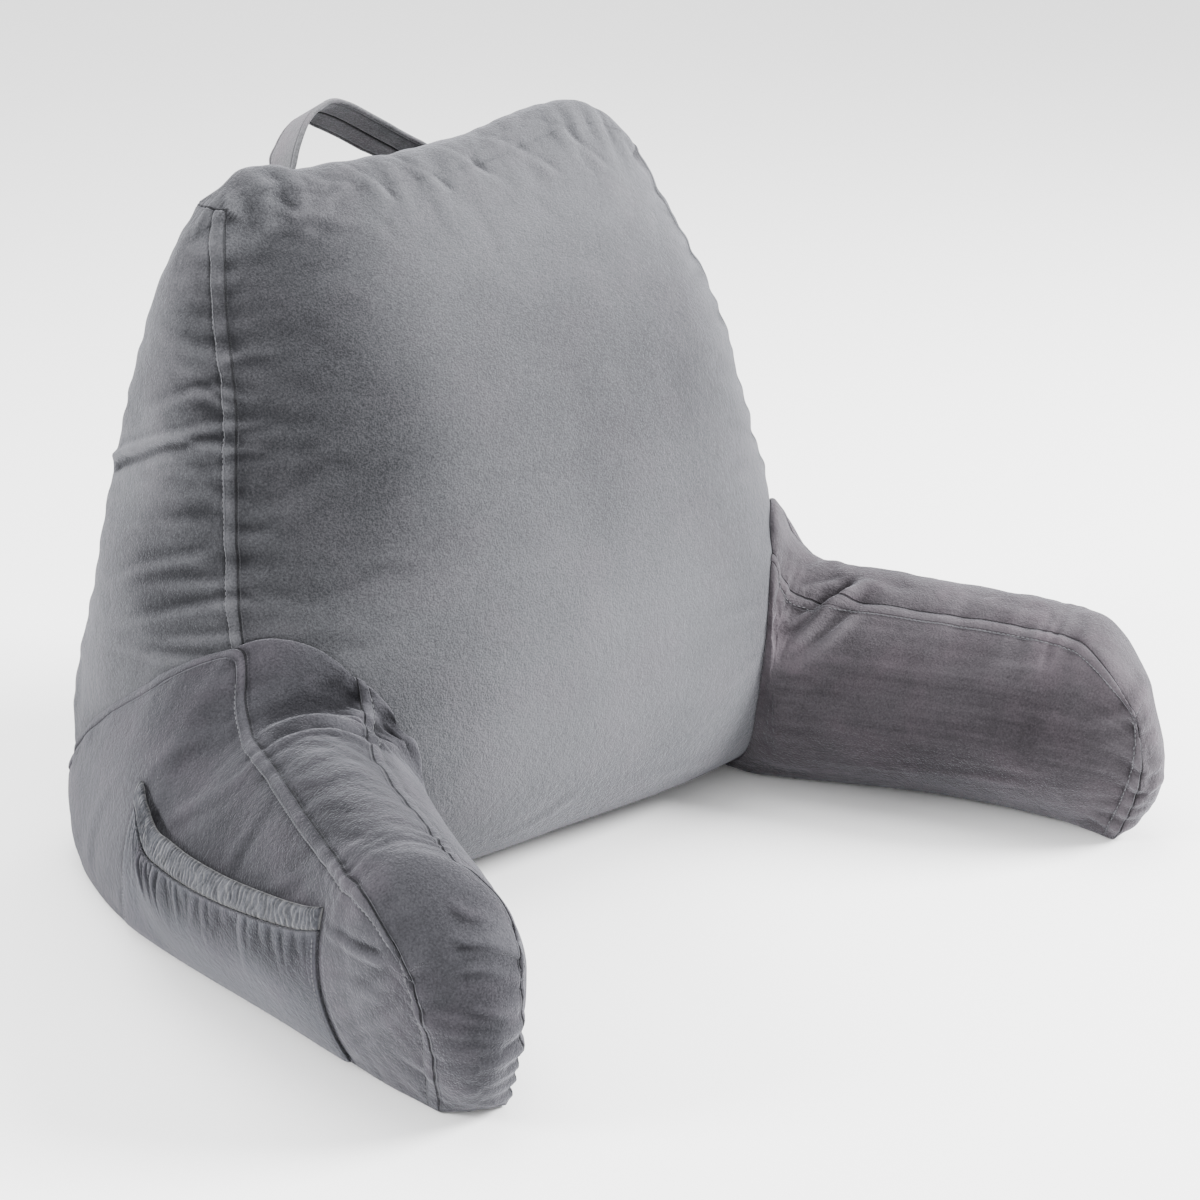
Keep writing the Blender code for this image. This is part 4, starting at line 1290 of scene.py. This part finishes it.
def along_welt(form, free, free_range, moving, end, place_on):
    """Points of a welt's topstitching: along the free place, a welt's width from the seam's end."""
    place = np.tile(np.array(place_on, float), (POINTS_A_LINE, 1))
    place[:, free] = np.linspace(*free_range, POINTS_A_LINE)
    seam = form(place)
    inwards = 1 - 2 * end
    share = np.full(POINTS_A_LINE, 0.05)
    for _ in range(4):
        place[:, moving] = end + inwards * share
        share *= WELT_WIDTH / np.linalg.norm(form(place) - seam, axis=1)
    place[:, moving] = end + inwards * share
    return form(place)


def laid_on(piece, points):
    """The points, moved onto the piece's surface where it has one."""
    laid = []
    for point in points:
        nearest, normal, _, away = skins[piece].find_nearest(Vector(point))
        if away < LAID_WITHIN:
            laid.append(nearest + normal * THREAD_WIDTH * THREAD_STANDS_UP)
    return laid


edge_share = STRAP_EDGE_STITCH / STRAP_WIDTH
strap_run = np.linspace(0.02, 0.98, POINTS_A_LINE)
foot_run = np.linspace(0.12, 0.88, POINTS_A_LINE)
side_run = np.linspace(0.02, 0.93, POINTS_A_LINE)
lines = [
    laid_on(backrest, along_welt(backrest_form, 2, (0.02, 0.98), 1, 0, (0, 0, 0))),
    laid_on(backrest, along_welt(backrest_form, 2, (0.02, 0.98), 1, 0, (1, 0, 0))),
]
for layer in (1, 0):
    for v in (edge_share, 1 - edge_share):
        lines.append(strap_form(vectors(strap_run, v, layer)))
for u in (0.015, 0.105, 0.895, 0.985):
    lines.append(strap_form(vectors(u, foot_run, 1)))
for name, form in (("arm_left", left_form), ("arm_right", right_form)):
    for v in (0, 1):
        lines.append(laid_on(covers[name], along_welt(form, 0, (0.36, 0.97), 2, 1, (0, v, 1))))
        lines.append(laid_on(covers[name], along_welt(form, 2, (0.94, 0.03), 0, 1, (1, v, 0))))
for f in (0.012, 0.988):
    lines.append(laid_on(pocket, pocket_form(vectors(f, side_run, 1))))


def sewn(name, lines, material):
    """Stitches set end to end along the lines, by a node tree that is then made a plain mesh."""
    tree = bpy.data.node_groups.new(name + "_stitches", "GeometryNodeTree")
    sockets = tree.interface
    sockets.new_socket("Lines", in_out="INPUT", socket_type="NodeSocketGeometry")
    sizes = {"Pitch": STITCH_PITCH, "Length": STITCH_LENGTH, "Thread": THREAD_WIDTH}
    keys = {
        size: sockets.new_socket(size, in_out="INPUT", socket_type="NodeSocketFloat").identifier
        for size in sizes
    }
    sockets.new_socket("Stitches", in_out="OUTPUT", socket_type="NodeSocketGeometry")
    nodes = Nodes(tree)
    given = [Reading(nodes, socket) for socket in tree.nodes.new("NodeGroupInput").outputs]
    node = nodes.node
    along = node("GeometryNodeResampleCurve", {"mode": "LENGTH"}, {"Curve": given[0], "Length": given[1]})
    way = node("GeometryNodeInputTangent", {}, {})
    turned = node("FunctionNodeAlignRotationToVector", {"axis": "X"}, {"Vector": way})
    bead = node("GeometryNodeMeshUVSphere", {}, {"Segments": 8, "Rings": 5, "Radius": 0.5})
    size = node("ShaderNodeCombineXYZ", {}, [given[2], given[3], given[3]])
    beads = {"Points": along, "Instance": bead, "Rotation": turned, "Scale": size}
    stitches = node("GeometryNodeInstanceOnPoints", {}, beads)
    plain = node("GeometryNodeRealizeInstances", {}, {"Geometry": stitches})
    threaded = node("GeometryNodeSetMaterial", {}, {"Geometry": plain, "Material": material})
    nodes.fill(tree.nodes.new("NodeGroupOutput").inputs, [threaded])

    curve = bpy.data.curves.new(name + "_lines", "CURVE")
    curve.dimensions = "3D"
    for line in lines:
        spline = curve.splines.new("POLY")
        spline.points.add(len(line) - 1)
        spline.points.foreach_set("co", np.array([[*point, 1.0] for point in line]).ravel())
    guide = placed(name + "_guide", curve)
    stitching = guide.modifiers.new("stitches", "NODES")
    stitching.node_group = tree
    for size_name, value in sizes.items():
        stitching[keys[size_name]] = value
    mesh = bpy.data.meshes.new_from_object(worked_out(guide))
    bpy.data.objects.remove(guide)
    return placed(name, mesh)


thread_cloth = Cloth("polyester_thread")
twist = thread_cloth.speckle(thread_cloth.here(), TWIST_PER_METRE)
shade = thread_cloth.blend(twist, darker(THREAD_COLOUR, 0.6), THREAD_COLOUR)
thread_cloth.surface({"Base Color": shade, "Roughness": 0.6})
topstitching = sewn("topstitching", lines, thread_cloth.material)
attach(topstitching, "root")

# ------------------------------------------------------------------------------------------------
# The room: a plain pale paper floor, and soft studio light from the right, from above and, weaker,
# from the left. The camera looks down on the pillow from its front left.
floor_mesh = bpy.data.meshes.new("floor")
FLOOR_SIZE = 12.0
FLOOR_BELOW = 0.0005
corners = [(x * FLOOR_SIZE, y * FLOOR_SIZE, 0) for x, y in ((-1, -1), (1, -1), (1, 1), (-1, 1))]
floor_mesh.from_pydata(corners, [], [(0, 1, 2, 3)])
floor = placed("floor", floor_mesh)
pale = Cloth("floor_paper")
pale.surface({"Base Color": (0.98, 0.98, 0.98, 1.0), "Roughness": 0.9})
floor_mesh.materials.append(pale.material)
floor.location.z = -FLOOR_BELOW

world = bpy.data.worlds.new("studio")
world.use_nodes = True
sky = world.node_tree.nodes["Background"]
sky.inputs["Color"].default_value = (1.0, 1.0, 1.0, 1.0)
sky.inputs["Strength"].default_value = 2.0
bpy.context.scene.world = world

Lamp = namedtuple("Lamp", "name x y z size power")
LAMPS = [
    Lamp("key", 2.0, -1.7, 1.7, 1.3, 340.0),
    Lamp("top", 0.1, 0.3, 2.4, 1.8, 55.0),
    Lamp("side", -2.2, 0.7, 1.3, 1.0, 80.0),
]
AIM = Vector((0.0, -0.05, 0.22))
for lamp in LAMPS:
    data = bpy.data.lights.new(lamp.name, "AREA")
    data.shape = "DISK"
    data.size = lamp.size
    data.energy = lamp.power
    light = placed(lamp.name, data)
    light.location = (lamp.x, lamp.y, lamp.z)
    light.rotation_euler = (AIM - light.location).to_track_quat("-Z", "Y").to_euler()

CAMERA_PLACE = (-1.153, -1.447, 0.809)
CAMERA_LOOKS_DOWN = 19.416
CAMERA_TURN = 41.407
CAMERA_LENS = 80.44
camera_data = bpy.data.cameras.new("camera")
camera_data.lens = CAMERA_LENS
camera_data.sensor_width = 36.0
camera = placed("camera", camera_data)
camera.location = CAMERA_PLACE
camera.rotation_euler = Euler((math.radians(90 - CAMERA_LOOKS_DOWN), 0, math.radians(-CAMERA_TURN)))
bpy.context.scene.camera = camera
